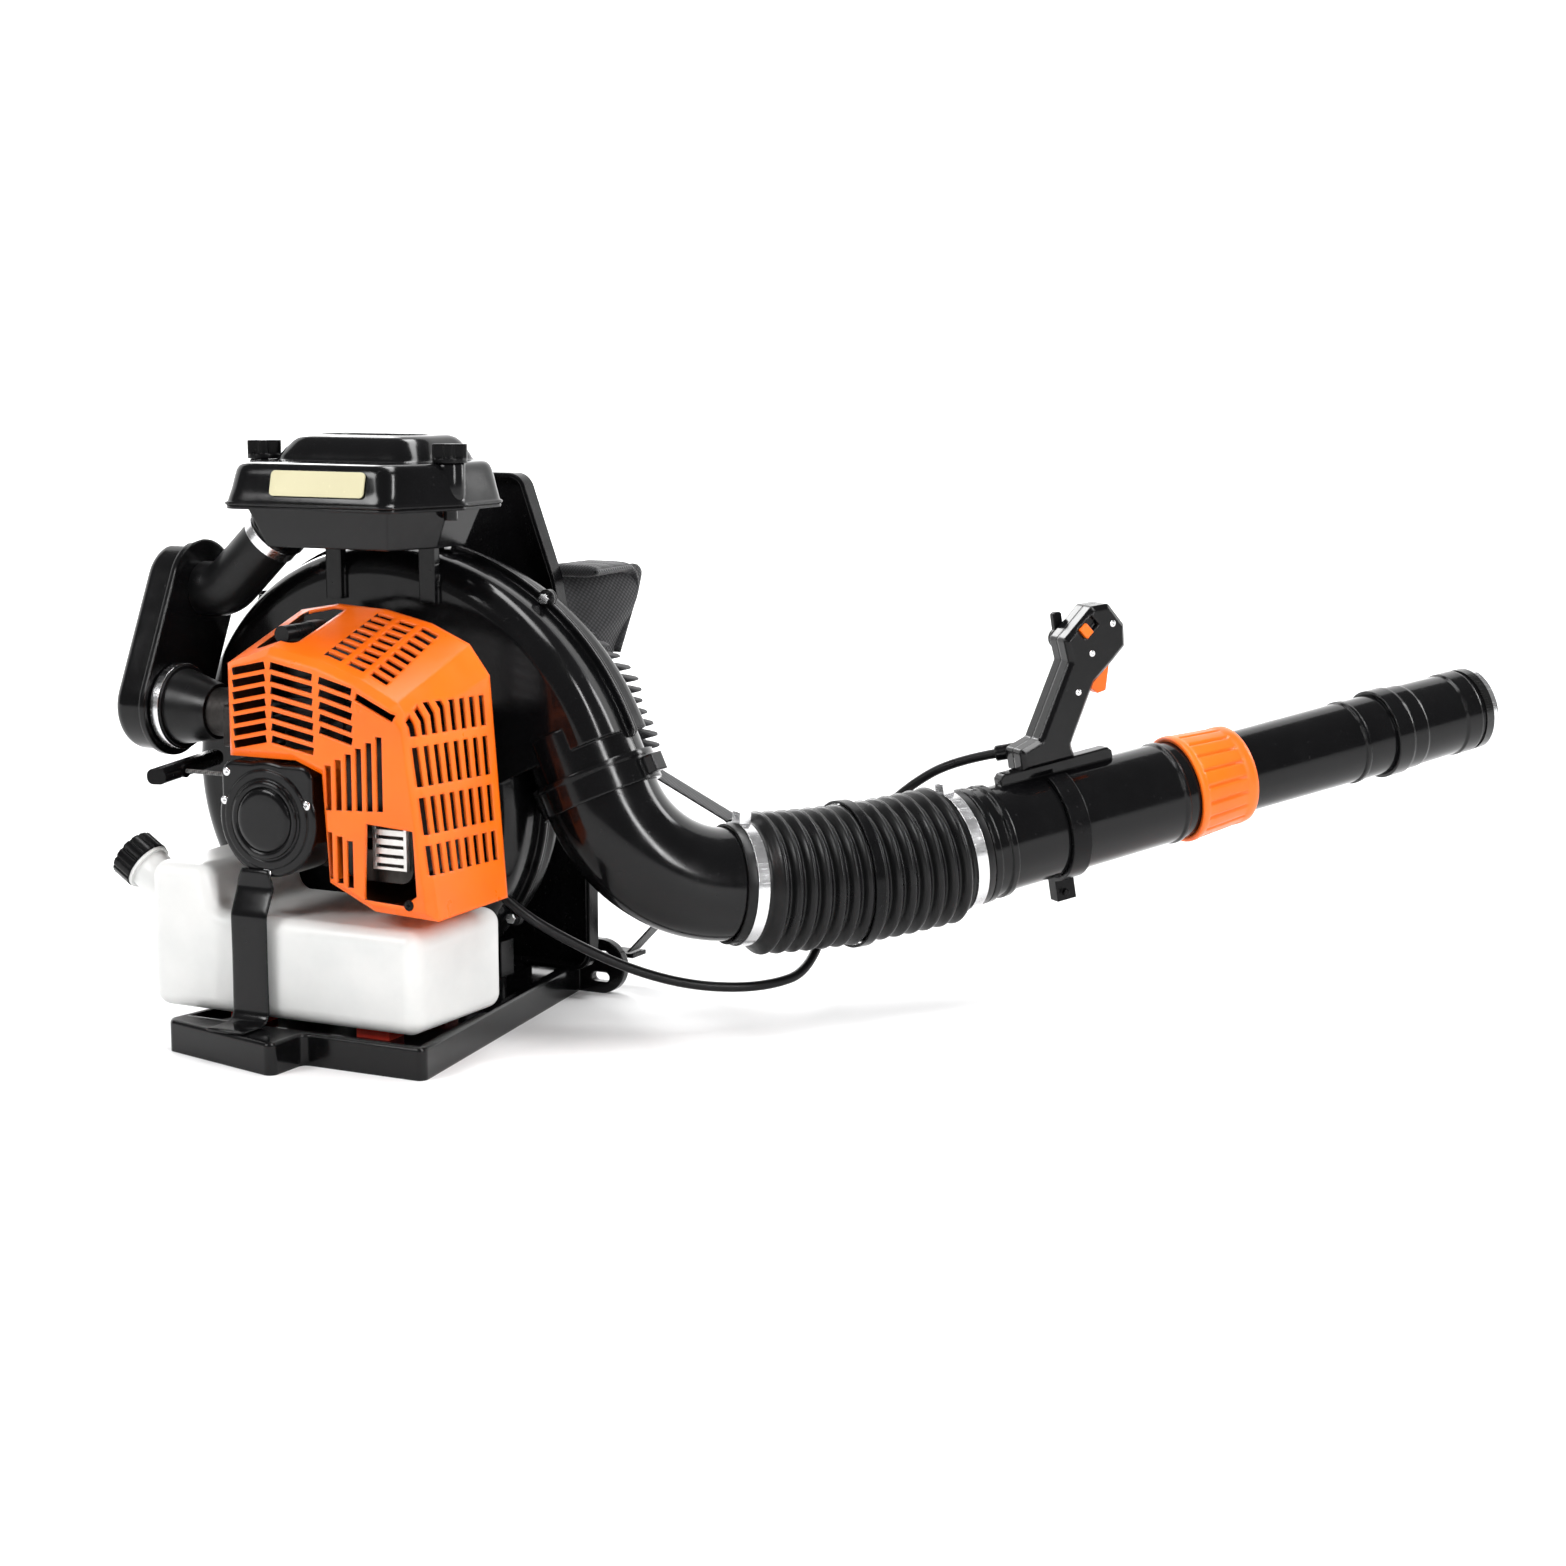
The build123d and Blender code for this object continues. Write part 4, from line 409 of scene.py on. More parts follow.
ceramic_pair = (rgb(0.85, 0.84, 0.80), rgb(0.78, 0.77, 0.73))
ceramic = moulded("glazed_ceramic", *ceramic_pair, 0.12, 0.04, 300, 0.00002, 0.0006)
rubber_pair = (rgb(0.0050, 0.0050, 0.0054), rgb(0.0030, 0.0030, 0.0033))
cast_pair = (rgb(0.60, 0.60, 0.61), rgb(0.42, 0.42, 0.43))
steel_pair = (rgb(0.80, 0.80, 0.81), rgb(0.68, 0.68, 0.69))
materials = {
    "orange_plastic": orange,
    "black_plastic": satin_black,
    "gloss_black_plastic": gloss_black,
    "tank_plastic": tank_material(),
    "black_rubber": rubber("black_rubber", *rubber_pair, 0.34, 0.012),
    "red_rubber": rubber("red_rubber", rgb(0.62, 0.035, 0.012), rgb(0.50, 0.025, 0.010), 0.5, 0.05),
    "pad_fabric": woven("pad_weave", rgb(0.006, 0.006, 0.007), rgb(0.030, 0.030, 0.033), 0.0016, 0.00035),
    "cast_alloy": metal("cast_alloy", *cast_pair, 0.48, 0.10, (1, 1, 1), 380, 0.0002),
    "bright_steel": metal("bright_steel", *steel_pair, 0.22, 0.08, (0.15, 0.15, 1), 900, 0.00003),
    "muffler_steel": muffler_material(),
    "cream_plate": cream,
    "filter_foam": foam_material(),
    "ceramic": ceramic,
}
webbing_pair = (rgb(0.010, 0.010, 0.011), rgb(0.050, 0.050, 0.053))
webbing_weave = woven("webbing_weave", *webbing_pair, 0.0022, 0.0004, 0.7, ("Y", "Z"))
rope_pair = (rgb(0.02, 0.02, 0.021), rgb(0.20, 0.20, 0.19))
rope_weave = woven("rope_braid", *rope_pair, 0.0018, 0.0003, 0.75, ("X", "DIAGONAL"))
# painted shade: cast alloy darkened to stand for the shade on the engine parts inside the shroud
shroud_shade_pair = (rgb(0.060, 0.056, 0.054), rgb(0.022, 0.020, 0.019))
shroud_shade_alloy = metal("shroud_shade_cast_alloy", *shroud_shade_pair, 0.55, 0.10, (1, 1, 1), 380, 0.0002)

slot_of = {part["node"]: part["material_slot"] for part in frame["record"]["subparts"]}


def paint(piece, material):
    piece.data.materials.clear()
    piece.data.materials.append(material)


for material in (materials["black_rubber"], materials["pad_fabric"], webbing_weave):
    shine(material, 0.22)
own_finish = {
    # engine parts inside the shroud take the alloy darkened with painted shade
    "cylinder": shroud_shade_alloy,
    "crankcase": shroud_shade_alloy,
    "carburettor": shroud_shade_alloy,
    "engine_shroud": orange_shell,
    "nozzle_band": band_material(),
    "starter_housing": gloss_black,
    "base_plate": gloss_black,
    "air_cleaner_base": gloss_black,
    "handle_left_half": gloss_black,
    "handle_right_half": gloss_black,
    "elbow_pipe": gloss_black,
    "volute_front": gloss_black,
    "starter_disc": gloss_black,
    "intake_duct": gloss_black,
    "outlet_collar": gloss_black,
}
for name, node in nodes.items():
    finish = own_finish.get(name, materials[slot_of[name]])
    if node.material_slots:
        for place in node.material_slots:
            place.link = "OBJECT"
            place.material = finish
    else:
        node.data.materials.append(finish)


# ---------------------------------------------------------------- mesh helpers
def mesh_piece(name, points, faces, smooth=True):
    data = bpy.data.meshes.new(name)
    data.from_pydata([tuple(p) for p in points], [], faces)
    data.validate()
    made = bmesh.new()
    made.from_mesh(data)
    bmesh.ops.recalc_face_normals(made, faces=made.faces)
    made.to_mesh(data)
    made.free()
    if smooth:
        data.shade_smooth()
    return link(name, data)


def loft(name, rings, caps=True, smooth=True):
    """Closed rings of equal point counts, joined one to the next."""
    points = [p for ring in rings for p in ring]
    count = len(rings[0])
    faces = []
    for k in range(len(rings) - 1):
        for i in range(count):
            j = (i + 1) % count
            faces.append((k * count + i, k * count + j, (k + 1) * count + j, (k + 1) * count + i))
    if caps:
        faces.append(tuple(reversed(range(count))))
        faces.append(tuple((len(rings) - 1) * count + i for i in range(count)))
    return mesh_piece(name, points, faces, smooth)


def circle_ring(centre, x_way, y_way, radius, count=64):
    angles = [2 * math.pi * i / count for i in range(count)]
    return [centre + x_way * radius * math.cos(a) + y_way * radius * math.sin(a) for a in angles]


def modify(piece, kind, **values):
    made = piece.modifiers.new(kind.lower(), kind)
    for key, value in values.items():
        setattr(made, key, value)
    return made


def bake(piece):
    """Apply the piece's modifiers to its mesh."""
    depsgraph = bpy.context.evaluated_depsgraph_get()
    done = bpy.data.meshes.new_from_object(piece.evaluated_get(depsgraph))
    piece.modifiers.clear()
    piece.data = done
    return piece


# ---------------------------------------------------------------- cords dressed
paint(cable_lower, materials["black_rubber"])
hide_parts("throttle_cable_lower")
paint(cable_upper, materials["black_rubber"])
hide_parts("throttle_cable_upper")
paint(rope, rope_weave)
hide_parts("starter_rope")

# ---------------------------------------------------------------- bellows hose
chord = 0.219
flat_way = Vector((math.cos(hose_azimuth), math.sin(hose_azimuth), 0))
side_way = Vector((-math.sin(hose_azimuth), math.cos(hose_azimuth), 0))
bend_radius = chord / (2 * math.sin((hose_end_pitch - hose_start_pitch) / 2))
hose_start = mm(275.456, 124.332, 132.027)


def hose_point(turn):
    """Centre and direction at a share of the hose's bend, straight on beyond its ends."""
    held = min(1.0, max(0.0, turn))
    pitch = hose_start_pitch + (hose_end_pitch - hose_start_pitch) * held
    centre = (
        hose_start
        + flat_way * bend_radius * (math.sin(pitch) - math.sin(hose_start_pitch))
        + UP * bend_radius * (math.cos(hose_start_pitch) - math.cos(pitch))
    )
    way = flat_way * math.cos(pitch) + UP * math.sin(pitch)
    return centre + way * (turn - held) * chord, way


hose_end, tube_way = hose_point(1.0)
tube_up = side_way.cross(tube_way) * -1
ribs = 14
chord_mm = 219
cuff_turn = 11 / chord_mm
cuff_end = 14 / chord_mm
cuff_lip = 13.4 / chord_mm
rib_turn = (1 - 2 * cuff_turn) / ribs
crest = 0.0648
root = 0.0573


def rib_radius(phase):
    """Radius over one rib: a rounded crest and a narrower rounded root."""
    wave = 0.5 - 0.5 * math.cos(2 * math.pi * phase)
    return root + (crest - root) * wave**0.62


def hose_ring(turn, radius):
    centre, way = hose_point(turn)
    return circle_ring(centre, side_way, side_way.cross(way), radius, 72)


def bellows_half(name, first, last, cuff):
    steps = 12
    before = (
        (-cuff_end, 0.0515),
        (-cuff_end, 0.0538),
        (-cuff_lip, 0.0543),
        (0, 0.0543),
        (cuff_turn - 0.012, 0.0543),
        (cuff_turn - 0.004, 0.0548),
    )
    after = (
        (1 - cuff_turn + 0.004, 0.0558),
        (1 - cuff_turn + 0.012, 0.0553),
        (1, 0.0553),
        (1 + cuff_lip, 0.0553),
        (1 + cuff_end, 0.0548),
        (1 + cuff_end, 0.0525),
    )
    rings = []
    if cuff == "start":
        rings += [hose_ring(turn, radius) for turn, radius in before]
    for k in range(first * steps, last * steps + 1):
        rings.append(hose_ring(cuff_turn + rib_turn * k / steps, rib_radius(k / steps)))
    if cuff == "end":
        rings += [hose_ring(turn, radius) for turn, radius in after]
    return loft(name, rings, caps=False)


bellows_near = bellows_half("bellows_near", 0, ribs // 2, "start")
bellows_far = bellows_half("bellows_far", ribs // 2, ribs, "end")
for half in (bellows_near, bellows_far):
    modify(half, "SOLIDIFY", thickness=0.0012, offset=-1.0)
    bake(half)
    half.data.shade_smooth()
    paint(half, materials["black_rubber"])
    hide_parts("bellows_hose")

# ---------------------------------------------------------------- back pad
frame_x = -15.0
pad_front = 166.6
pad_back = 204.0
pad_profile = [(165, 118), (180, 130), (224, 165), (254, 165), (324, 114), (366, 66), (380, 46)]


def interpolate(profile, z):
    for (za, wa), (zb, wb) in zip(profile, profile[1:]):
        if z <= zb:
            share = (z - za) / (zb - za)
            return wa + (wb - wa) * share
    return profile[-1][1]


def pad_half(z):
    """Half width at a height, evened out over 24 mm so that the corners are round."""
    return sum(interpolate(pad_profile, min(380, max(165, z + step))) for step in (-12, -6, 0, 6, 12)) / 5


rib_count = 21
rows_per_rib = 10
row_count = rib_count * rows_per_rib
column_count = 72
pad_rows = []
for row in range(row_count + 1):
    share = row / row_count
    z = 166.5 + (379 - 166.5) * share
    ends = min(1.0, max(0.0, 1 - abs(2 * share - 1) ** 16)) ** 0.5
    wave = 0.5 - 0.5 * math.cos(2 * math.pi * rib_count * share)
    groove = wave * wave * (3 - 2 * wave)
    fin = 13.0 * math.exp(-(((z - 262) / 62) ** 4)) + 17.0 * math.exp(-(((z - 322) / 34) ** 4))
    half = pad_half(z) + fin - (7.0 + fin * 0.6) * (1 - groove) - 6.0 * (1 - ends)
    thickness = (pad_back - pad_front - 0.6) * (0.35 + 0.65 * ends)
    ring = []
    for i in range(column_count):
        angle = 2 * math.pi * i / column_count
        c, s = math.cos(angle), math.sin(angle)
        u = math.copysign(abs(c) ** 0.34, c)
        v = math.copysign(abs(s) ** 0.5, s)
        hollow = 0.12 * math.exp(-((u / 0.16) ** 2))
        deep = (thickness - 7.0 * (1 - groove)) * (1 - hollow)
        y = pad_front + (deep * v if v > 0 else 0.0)
        ring.append(mm(frame_x + half * u, y, z))
    pad_rows.append(ring)
back_cushion = loft("back_cushion", pad_rows)
paint(back_cushion, materials["pad_fabric"])
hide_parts("back_pad")
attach(back_cushion, "machine")


# ---------------------------------------------------------------- shoulder straps
def rounded_path(points, radius, step):
    """Points along straight runs joined by arcs, in a plane."""
    done = [Vector(points[0])]
    for before, corner, after in zip(points, points[1:], points[2:]):
        a, c, b = Vector(before), Vector(corner), Vector(after)
        into, out = (c - a).normalized(), (b - c).normalized()
        half = into.angle(out) / 2
        reach = radius * math.tan(half)
        start, end = c - into * reach, c + out * reach
        bisector = (out - into).normalized()
        centre = c + bisector * radius / math.cos(half)
        count = max(3, int(radius * 2 * half / step))
        r0, r1 = start - centre, end - centre
        for k in range(count + 1):
            share = k / count
            turn = 2 * half
            arm = r0 * math.sin((1 - share) * turn) + r1 * math.sin(share * turn)
            done.append(centre + arm / math.sin(turn))
    done.append(Vector(points[-1]))
    even = [done[0]]
    for a, b in zip(done, done[1:]):
        parts = max(1, int((b - a).length / step))
        even += [a.lerp(b, k / parts) for k in range(1, parts + 1)]
    return even


def heading(path, k):
    """Way from the point before the k-th to the point after it."""
    return path[min(k + 1, len(path) - 1)] - path[max(k - 1, 0)]


def sweep_flat(name, path, across, half_width, half_thickness, shape, smooth=True):
    """Flat band along a path; shape gives width and thickness factors at a share of its length."""
    rings = []
    total = len(path) - 1
    for k, place in enumerate(path):
        normal = across.cross(heading(path, k)).normalized()
        wide, thick = shape(k / total)
        ring = []
        for i in range(40):
            angle = 2 * math.pi * i / 40
            c, s = math.cos(angle), math.sin(angle)
            u = math.copysign(abs(c) ** 0.45, c)
            v = math.copysign(abs(s) ** 0.75, s)
            ring.append(place + across * half_width * wide * u + normal * half_thickness * thick * v)
        rings.append(ring)
    return loft(name, rings, smooth=smooth)


strap_half = 90.0
binding_radius = 0.0019
webbing_half_width = 0.0124
webbing_half_thickness = 0.00095
half_section = ((-1, -0.8), (-0.93, -1), (-0.5, -1), (0, -1), (0.5, -1), (0.93, -1), (1, -0.8))
webbing_section = half_section + tuple((u, -v) for u, v in reversed(half_section))
for side, name in ((1, "right"), (-1, "left")):
    x = frame_x + side * strap_half
    route = [mm(x, 167.5, 402), mm(x, 262, 402), mm(x, 217.5, 323)]
    path = rounded_path(route, 0.018, 0.004)

    def padding(share):
        seam = 1.0 - 0.30 * math.exp(-(((share * 7) % 1 - 0.5) / 0.10) ** 2)
        end = min(1.0, (1 - share) / 0.05 + 0.35, share / 0.03 + 0.5)
        taper = 1.0 - 0.18 * share
        return taper, end * seam * (1.0 - 0.2 * share)

    strap = sweep_flat(f"strap_padding_{name}", path, X_WAY, 0.0295, 0.0058, padding)
    paint(strap, materials["pad_fabric"])
    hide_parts(f"shoulder_strap_{name}")
    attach(strap, "machine")

    for edge_side in (-1, 1):
        edge = [edge_side * 0.0290 * padding(k / (len(path) - 1))[0] for k in range(len(path))]
        line = [place + X_WAY * offset for place, offset in zip(path, edge)]
        rings = []
        for k, place in enumerate(line):
            ahead = heading(line, k).normalized()
            rings.append(circle_ring(place, X_WAY, X_WAY.cross(ahead), binding_radius, 12))
        bound = loft(f"strap_binding_{name}_{'in' if edge_side * side < 0 else 'out'}", rings)
        paint(bound, webbing_weave)
        bound.parent = strap
        bound.matrix_parent_inverse = strap.matrix_world.inverted()

    webbing_route = [
        mm(frame_x + side * strap_half, 217, 315),
        mm(frame_x + side * 151, 217, 212),
        mm(frame_x + side * 240, 217, 170),
        mm(frame_x + side * 232, 217, 146),
        mm(side * 113, 217, 37.4),
    ]
    webbing_path = rounded_path(webbing_route, 0.009, 0.003)
    rings = []
    for k, place in enumerate(webbing_path):
        normal = Y_WAY.cross(heading(webbing_path, k).normalized()).normalized()
        ring = []
        for u, v in webbing_section:
            ring.append(place + Y_WAY * webbing_half_width * u + normal * webbing_half_thickness * v)
        rings.append(ring)
    webbing = loft(f"webbing_{name}", rings)
    paint(webbing, webbing_weave)
    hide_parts(f"strap_webbing_{name}")
    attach(webbing, "machine")

# ---------------------------------------------------------------- air filter
low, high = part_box("air_filter")
centre_x = (low[0] + high[0]) / 2
centre_y = (low[1] + high[1]) / 2
filter_rings = []
pleats = 96
for level in range(9):
    z = low[2] + (high[2] - low[2]) * level / 8
    pinch = 0.0012 * abs(2 * level / 8 - 1) ** 4
    ring = []
    for i in range(pleats * 4):
        angle = 2 * math.pi * i / (pleats * 4)
        c, s = math.cos(angle), math.sin(angle)
        depth = 0.0022 * (0.5 + 0.5 * math.cos(angle * pleats)) + pinch
        reach_x = (high[0] - low[0]) / 2 - depth
        reach_y = (high[1] - low[1]) / 2 - depth
        ring.append(
            Vector(
                (
                    centre_x + reach_x * math.copysign(abs(c) ** 0.45, c),
                    centre_y + reach_y * math.copysign(abs(s) ** 0.45, s),
                    z,
                )
            )
        )
    filter_rings.append(ring)
filter_foam = loft("filter_element", filter_rings)
paint(filter_foam, materials["filter_foam"])
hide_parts("air_filter")
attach(filter_foam, "machine")


# ---------------------------------------------------------------- air cleaner cover
def rounded_outline(corners, inset, radius):
    """Dense closed line round a convex polygon, its edges moved inwards and its corners rounded."""
    count = len(corners)
    lines = []
    for k in range(count):
        a, b = Vector(corners[k]), Vector(corners[(k + 1) % count])
        along = (b - a).normalized()
        lines.append((a + Vector((-along.y, along.x)) * inset, along))
    points = []
    moved = []
    for k in range(count):
        (a, da), (b, db) = lines[k - 1], lines[k]
        share = (b - a).cross(db) / da.cross(db)
        moved.append(a + da * share)
    for k in range(count):
        da, db = lines[k - 1][1], lines[k][1]
        turn = da.angle(db)
        reach = radius * math.tan(turn / 2)
        start = moved[k] - da * reach
        centre = start + Vector((-da.y, da.x)) * radius
        for step in range(13):
            angle = turn * step / 12
            arm = start - centre
            c, s = math.cos(angle), math.sin(angle)
            points.append(centre + Vector((arm.x * c - arm.y * s, arm.x * s + arm.y * c)))
    return points


def outline_ring(corners, inset, radius, z, middle, count=192):
    """Ring of points at even angles about a middle, on the outline at one height (mm)."""
    line = rounded_outline(corners, inset, radius)
    ring = []
    for i in range(count):
        angle = 2 * math.pi * i / count
        way = Vector((math.cos(angle), math.sin(angle)))
        best = None
        for a, b in zip(line, line[1:] + line[:1]):
            edge = b - a
            across = way.cross(edge)
            if abs(across) < 1e-9:
                continue
            offset = a - Vector(middle)
            reach = offset.cross(edge) / across
            share = offset.cross(way) / across
            if reach > 0 and -1e-6 <= share <= 1 + 1e-6:
                best = reach if best is None else max(best, reach)
        place = Vector(middle) + way * best
        ring.append(mm(place.x, place.y, z))
    return ring


def rectangle(width, depth, y):
    left, right = cleaner_x - width / 2, cleaner_x + width / 2
    front, rear = y - depth / 2, y + depth / 2
    return [(left, front), (right, front), (right, rear), (left, rear)]


cleaner_x = -15.5
rim_z = 473.0
deck_z = 510.0
cover_top = 532.0
knob_half = 98.0
knob_y = -38.0
cleaner_middle = (cleaner_x, -8.0)
right_corners = [(85.5, -115), (112.5, -40), (112.5, 20), (90.5, 50)]
rim_corners = [(cleaner_x - 85.5, -115)]
rim_corners += [(cleaner_x + x, y) for x, y in right_corners]
rim_corners += [(cleaner_x - x, y) for x, y in reversed(right_corners[1:])]
hump_foot = rectangle(156, 104, -8)
recess = rectangle(104, 44, -4)
cover_sections = [
    # inner face, from the middle down to the rim
    (rim_corners, 17, 18, deck_z - 3),
    (rim_corners, 12.5, 18, deck_z - 4.5),
    (rim_corners, 10.4, 18, deck_z - 8),
    (rim_corners, 3, 18, rim_z + 3),
    (rim_corners, 3, 18, rim_z),
    # lip round the rim
    (rim_corners, 1.2, 18, rim_z),
    (rim_corners, -0.9, 18, rim_z + 0.4),
    (rim_corners, -1.6, 18, rim_z + 1.6),
    (rim_corners, -1.2, 18, rim_z + 2.8),
    (rim_corners, 0.4, 18, rim_z + 3.3),
    (rim_corners, 1.0, 18, rim_z + 4.2),
    # leaning wall and rounded shoulder
    (rim_corners, 3.6, 22, rim_z + 15),
    (rim_corners, 6.2, 22, rim_z + 26),
    (rim_corners, 7.3, 22, rim_z + 30),
    (rim_corners, 8.9, 22, rim_z + 33.3),
    (rim_corners, 11.2, 22, rim_z + 35.6),
    (rim_corners, 14, 22, rim_z + 36.7),
    (rim_corners, 18, 22, deck_z),
    # hump
    (hump_foot, -3.5, 24, deck_z),
    (hump_foot, -1.4, 24, deck_z + 0.5),
    (hump_foot, -0.2, 24, deck_z + 1.8),
    (hump_foot, 0.5, 24, deck_z + 4),
    (rectangle(146, 92, -6.6), 0, 24, cover_top - 9),
    (rectangle(143, 88, -6.3), 0.6, 24, cover_top - 5.5),
    (rectangle(141, 86, -6), 2.2, 24, cover_top - 2.6),
    (rectangle(140, 84, -6), 5, 24, cover_top - 0.7),
    (rectangle(140, 84, -6), 8.5, 24, cover_top),
    # recess in its top
    (recess, -4, 21, cover_top),
    (recess, -1.8, 21, cover_top - 0.5),
    (recess, -0.4, 21, cover_top - 1.8),
    (recess, 0.6, 19, cover_top - 3.4),
    (recess, 3, 19, cover_top - 4),
]
cover = loft("moulded_cover", [outline_ring(*section, cleaner_middle) for section in cover_sections])
cover_parts = [cover]
for side in (-1, 1):
    seat = mm(cleaner_x + side * knob_half, knob_y, 0)
    seat_rings = [
        circle_ring(seat + UP * z * MM, X_WAY, Y_WAY, radius * MM, 48)
        for radius, z in ((12.2, 477), (12.8, 478), (13.2, 484), (13.2, 508.2), (12.7, 509.4), (11.6, 509.9))
    ]
    cover_parts.append(loft(f"cover_seat_{'left' if side < 0 else 'right'}", seat_rings))
for piece in cover_parts:
    paint(piece, gloss_black)
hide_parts("air_cleaner_cover")
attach(cover, "filter_cover")
for piece in cover_parts[1:]:
    piece.parent = cover
    piece.matrix_parent_inverse = cover.matrix_world.inverted()

# ---------------------------------------------------------------- tank guard
guard_x = -53.0
guard_corners = ((-196, 29.5), (-158, 29.5), (-158, 124), (-147.6, 146), (-147.6, 163))
guard_path = rounded_path([mm(guard_x, y, z) for y, z in guard_corners], 0.011, 0.003)


def guard_shape(share):
    return 1.0 - 0.06 * math.sin(math.pi * share) - 0.30 * max(0.0, (share - 0.9) / 0.1) ** 2, 1.0


guard = sweep_flat("guard_strap", guard_path, X_WAY, 0.020, 0.0015, guard_shape)
paint(guard, gloss_black)
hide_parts("tank_guard")
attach(guard, "machine")

# ---------------------------------------------------------------- locking collar
collar_start = 0.244
collar_bore = 0.04035
collar_end = 0.066
collar_grooves = 20
# distance along the tube, radius, and 1 where the grip grooves are
collar_profile = [
    (0.018, collar_bore, 0),
    (0.000, 0.04760, 0),
    (0.000, 0.0508, 0),
    (0.0006, 0.0518, 0),
    (0.0020, 0.0521, 0),
    (0.0058, 0.0521, 0),
    (0.0070, 0.0516, 0),
    (0.0078, 0.0512, 1),
    (0.0100, 0.0511, 1),
    (0.0250, 0.0500, 1),
    (0.0400, 0.0489, 1),
    (0.0520, 0.0480, 1),
    (0.0536, 0.0479, 0),
    (0.0550, 0.0484, 0),
    (0.0600, 0.0483, 0),
    (0.0640, 0.0478, 0),
    (0.0656, 0.0466, 0),
    (collar_end, 0.0450, 0),
    (collar_end, collar_bore, 0),
]
collar_rings = []
for along, radius, grooved in collar_profile:
    centre = hose_end + tube_way * (collar_start + along)
    ring = []
    for i in range(collar_grooves * 16):
        angle = 2 * math.pi * i / (collar_grooves * 16)
        phase = (i % 16) / 16
        groove = math.exp(-(((phase - 0.5) / 0.085) ** 4))
        reach = radius - 0.0021 * groove * grooved
        outward = side_way * math.cos(angle) + side_way.cross(tube_way) * math.sin(angle)
        ring.append(centre + outward * reach)
    collar_rings.append(ring)
collar = loft("ribbed_collar", collar_rings, caps=False)
paint(collar, orange)
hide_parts("locking_collar")
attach(collar, "twist_collar")

# ---------------------------------------------------------------- strap panel
panel_near = frame_x + strap_half + 6
panel_far = frame_x + strap_half + 29
panel_route = [mm(frame_x + 66, 168.5, 403), mm(panel_far, 264, 404), mm(panel_far - 9, 216, 322)]
panel_line = rounded_path(panel_route, 0.008, 0.004)
panel_rings = []
for share in (0.0, 0.02, 0.06, 0.14, 0.3, 0.5, 0.7, 0.86, 0.94, 0.98, 1.0):
    ring = []
    foot = mm(panel_near, 169, 334)
    for side in (-1, 1):
        order = panel_line if side < 0 else list(reversed(panel_line))
        for place in order:
            away = (place - foot).length
            drape = 0.0022 * math.sin(away * 95) * (1 - share) + 0.004 * math.sin(math.pi * share)
            spot = place.lerp(foot, share * 0.985)
            half_thickness = 0.0011 * (1 if 0.01 < share < 0.99 else 0.6)
            ring.append(spot + X_WAY * (drape + side * half_thickness))
    panel_rings.append(ring)
panel = loft("strap_panel_right", panel_rings)
paint(panel, webbing_weave)
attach(panel, "machine")


# ---------------------------------------------------------------- screws
def screw_head(name, place, way, radius, height, material, body):
    """Low domed head with a cross recess, its axis along way."""
    way = Vector(way).normalized()
    other = UP if abs(way.z) < 0.9 else X_WAY
    x_way = way.cross(other).normalized()
    y_way = way.cross(x_way)
    place = Vector(place)
    count = 32
    rings = []
    for share, level in ((1.0, 0.0), (1.0, 0.45), (0.93, 0.72), (0.78, 0.92), (0.55, 1.0)):
        rings.append(circle_ring(place + way * height * level, x_way, y_way, radius * share, count))
    for share, level in ((0.50, 1.0), (0.40, 0.35)):
        ring = []
        for i in range(count):
            angle = 2 * math.pi * i / count
            arm = abs(math.cos(2 * angle)) ** 3
            reach = radius * share * (0.35 + 0.65 * arm)
            outward = x_way * math.cos(angle) + y_way * math.sin(angle)
            ring.append(place + way * height * level + outward * reach)
        rings.append(ring)
    head = loft(name, rings)
    paint(head, material)
    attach(head, body)
    return head


def surface_point(name, start, way):
    """Where a line from outside first meets a CAD node."""
    node = nodes[name]
    back = node.matrix_world.inverted()
    hit, place, _, _ = node.ray_cast(back @ Vector(start), (back.to_3x3() @ Vector(way)).normalized())
    return node.matrix_world @ place if hit else None


low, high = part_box("starter_disc")
boss_rings = []
boss_profile = [
    (34, -0.3),
    (34, 0.9),
    (33.2, 1.7),
    (30.2, 1.9),
    (29.2, 1.5),
    (28.8, 0.3),
    (27.6, 0.3),
    (27.2, 1.6),
    (26.4, 2.5),
    (22, 2.9),
    (8, 3.2),
]
for radius, forward in boss_profile:
    boss_centre = Vector(((low[0] + high[0]) / 2, low[1] - forward * MM, (low[2] + high[2]) / 2))
    boss_rings.append(circle_ring(boss_centre, X_WAY, UP, radius * MM, 72))
boss = loft("starter_boss", boss_rings)
paint(boss, gloss_black)
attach(boss, "machine")
steel = materials["bright_steel"]
starter_screws = (("a", -41, 160.5, 0.0042), ("b", -84, 221, 0.0038), ("c", -81, 246, 0.0038), ("d", 2, 222, 0.0042))
for letter, x, z, radius in starter_screws:
    spot = surface_point("starter_housing", mm(x, -250, z), Y_WAY)
    if spot is not None:
        seated = spot + Y_WAY * 0.0002
        screw_head(f"starter_screw_{letter}", seated, -Y_WAY, radius, 0.0016, steel, "machine")
hole = surface_point("engine_shroud", mm(108, -250, 146), Y_WAY)
if hole is not None:
    screw_head("shroud_screw", hole, -Y_WAY, 0.0048, 0.0007, satin_black, "machine")
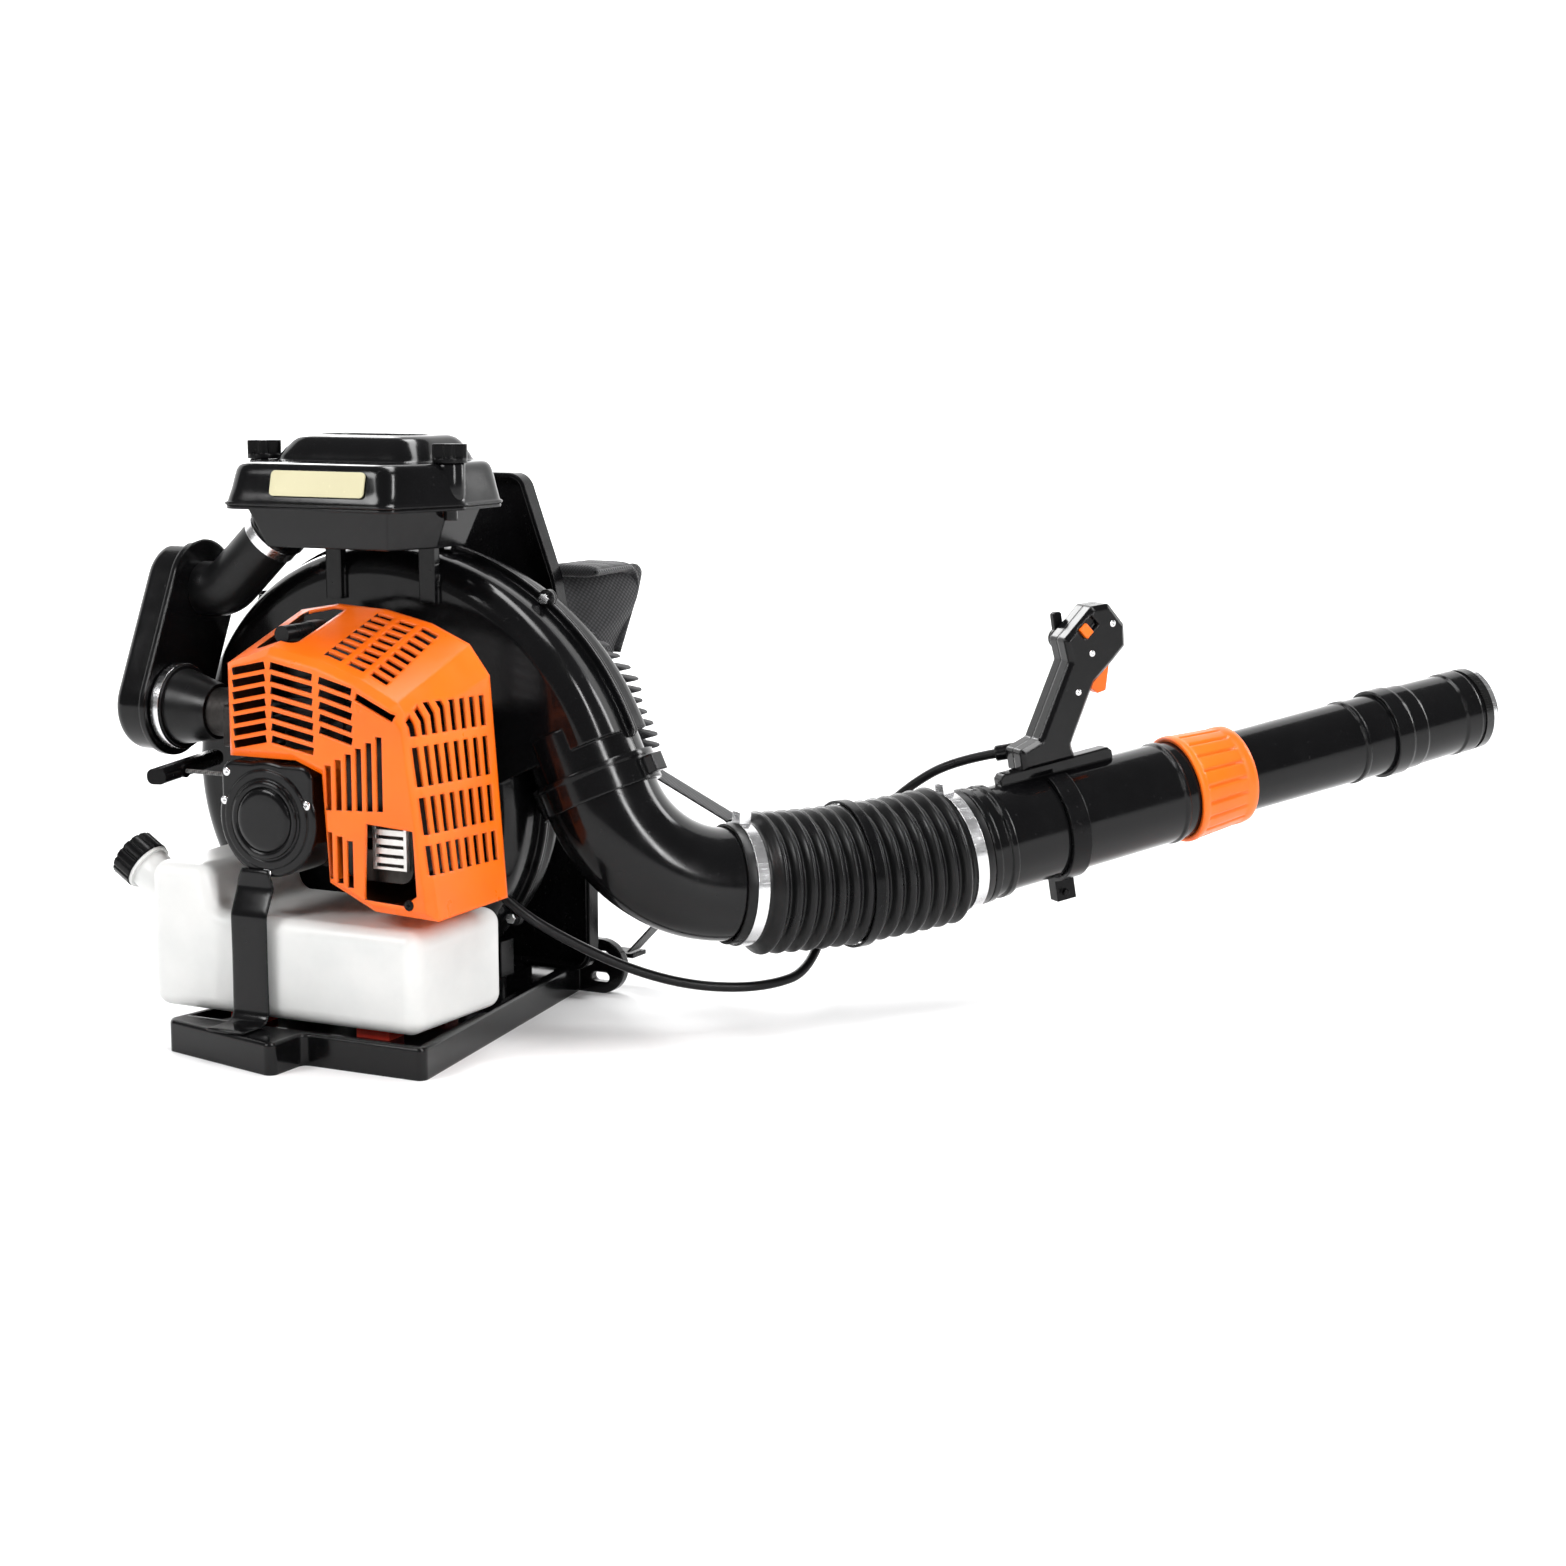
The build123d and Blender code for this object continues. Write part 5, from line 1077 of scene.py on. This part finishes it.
for number, (along, height) in enumerate(((190, 177), (164, 154), (144, 121))):
    inner = hose_end + tube_way * along * MM + tube_up * height * MM
    for half in ("handle_right_half", "handle_left_half"):
        spot = surface_point(half, inner - side_way * 0.2, side_way)
        if spot is not None:
            screw_head(f"handle_screw_{number}", spot, -side_way, 0.0031, 0.0012, steel, "wand")
            break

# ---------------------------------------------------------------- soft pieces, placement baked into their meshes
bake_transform(rope)
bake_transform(bellows_near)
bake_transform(bellows_far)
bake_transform(cable_lower)
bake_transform(cable_upper)

# ---------------------------------------------------------------- floor and light
view_way = Vector((-0.448, 0.880, 0)).normalized()
view_side = Vector((view_way.y, -view_way.x, 0))


def stage_plane(name, corners, material):
    data = bpy.data.meshes.new(name)
    data.from_pydata([tuple(c) for c in corners], [], [(0, 1, 2, 3)])
    made = link(name, data)
    made.data.materials.append(material)
    return made


def far_glow(shader):
    """Light given off by the backdrop, growing with distance from the object."""
    distance = shader.node("ShaderNodeVectorMath")
    distance.operation = "LENGTH"
    shader.put(distance.inputs[0], shader.place)
    glow = shader.span(distance.outputs["Value"], 0.0, 1.05, 1.1, 4.5)
    shader.bsdf.inputs["Emission Color"].default_value = rgb(1, 1, 1)
    shader.put(shader.bsdf.inputs["Emission Strength"], glow)


pale = Shader("pale_floor")
far_glow(pale)
pale.finish(
    Base_Color=pale.mix(pale.span(pale.noise(1.5, 2), 0, 1), rgb(0.9, 0.9, 0.9), rgb(0.88, 0.88, 0.885)),
    Roughness=pale.span(pale.noise(4, 2), 0.55, 0.65),
)
floor_reach = 40
wall_distance = 9
floor_corners = (
    (-floor_reach, -floor_reach),
    (-floor_reach, floor_reach),
    (wall_distance, floor_reach),
    (wall_distance, -floor_reach),
)
stage_plane(
    "studio_floor",
    [view_way * reach + view_side * across for reach, across in floor_corners],
    pale.material,
)
wall = Shader("studio_wall")
wall.bsdf.inputs["Emission Color"].default_value = rgb(1, 1, 1)
wall.bsdf.inputs["Emission Strength"].default_value = 1.05
wall.finish(
    Base_Color=wall.mix(wall.span(wall.noise(1.5, 2), 0, 1), rgb(0.9, 0.9, 0.9), rgb(0.88, 0.88, 0.88)),
    Roughness=wall.span(wall.noise(4, 2), 0.6, 0.7),
)
wall_corners = ((-floor_reach, 0), (floor_reach, 0), (floor_reach, 12), (-floor_reach, 12))
stage_plane(
    "studio_wall",
    [view_way * wall_distance + view_side * across + UP * rise for across, rise in wall_corners],
    wall.material,
)

world = bpy.data.worlds.new("studio")
world.use_nodes = True
world.node_tree.nodes["Background"].inputs["Color"].default_value = (1, 1, 1, 1)
world.node_tree.nodes["Background"].inputs["Strength"].default_value = 0.24
scene.world = world
scene.view_settings.view_transform = "Standard"

target = Vector((0.15, 0.1, 0.25))


def softbox(name, place, width, height, power):
    data = bpy.data.lights.new(name, "AREA")
    data.shape = "RECTANGLE"
    data.size = width
    data.size_y = height
    data.energy = power
    made = link(name, data)
    made.location = place
    made.rotation_euler = (target - Vector(place)).to_track_quat("-Z", "Y").to_euler()
    return made


softbox("key", (-1.3, -2.4, 2.2), 1.3, 0.9, 60)
softbox("strip_right", (2.4, -1.0, 1.5), 0.26, 1.8, 48)
softbox("top", (0.3, 0.3, 2.8), 2.6, 0.6, 74)
softbox("back", (-1.8, 1.8, 1.6), 0.5, 1.6, 26)
softbox("back_right", (1.9, 2.2, 1.3), 0.5, 1.4, 26)
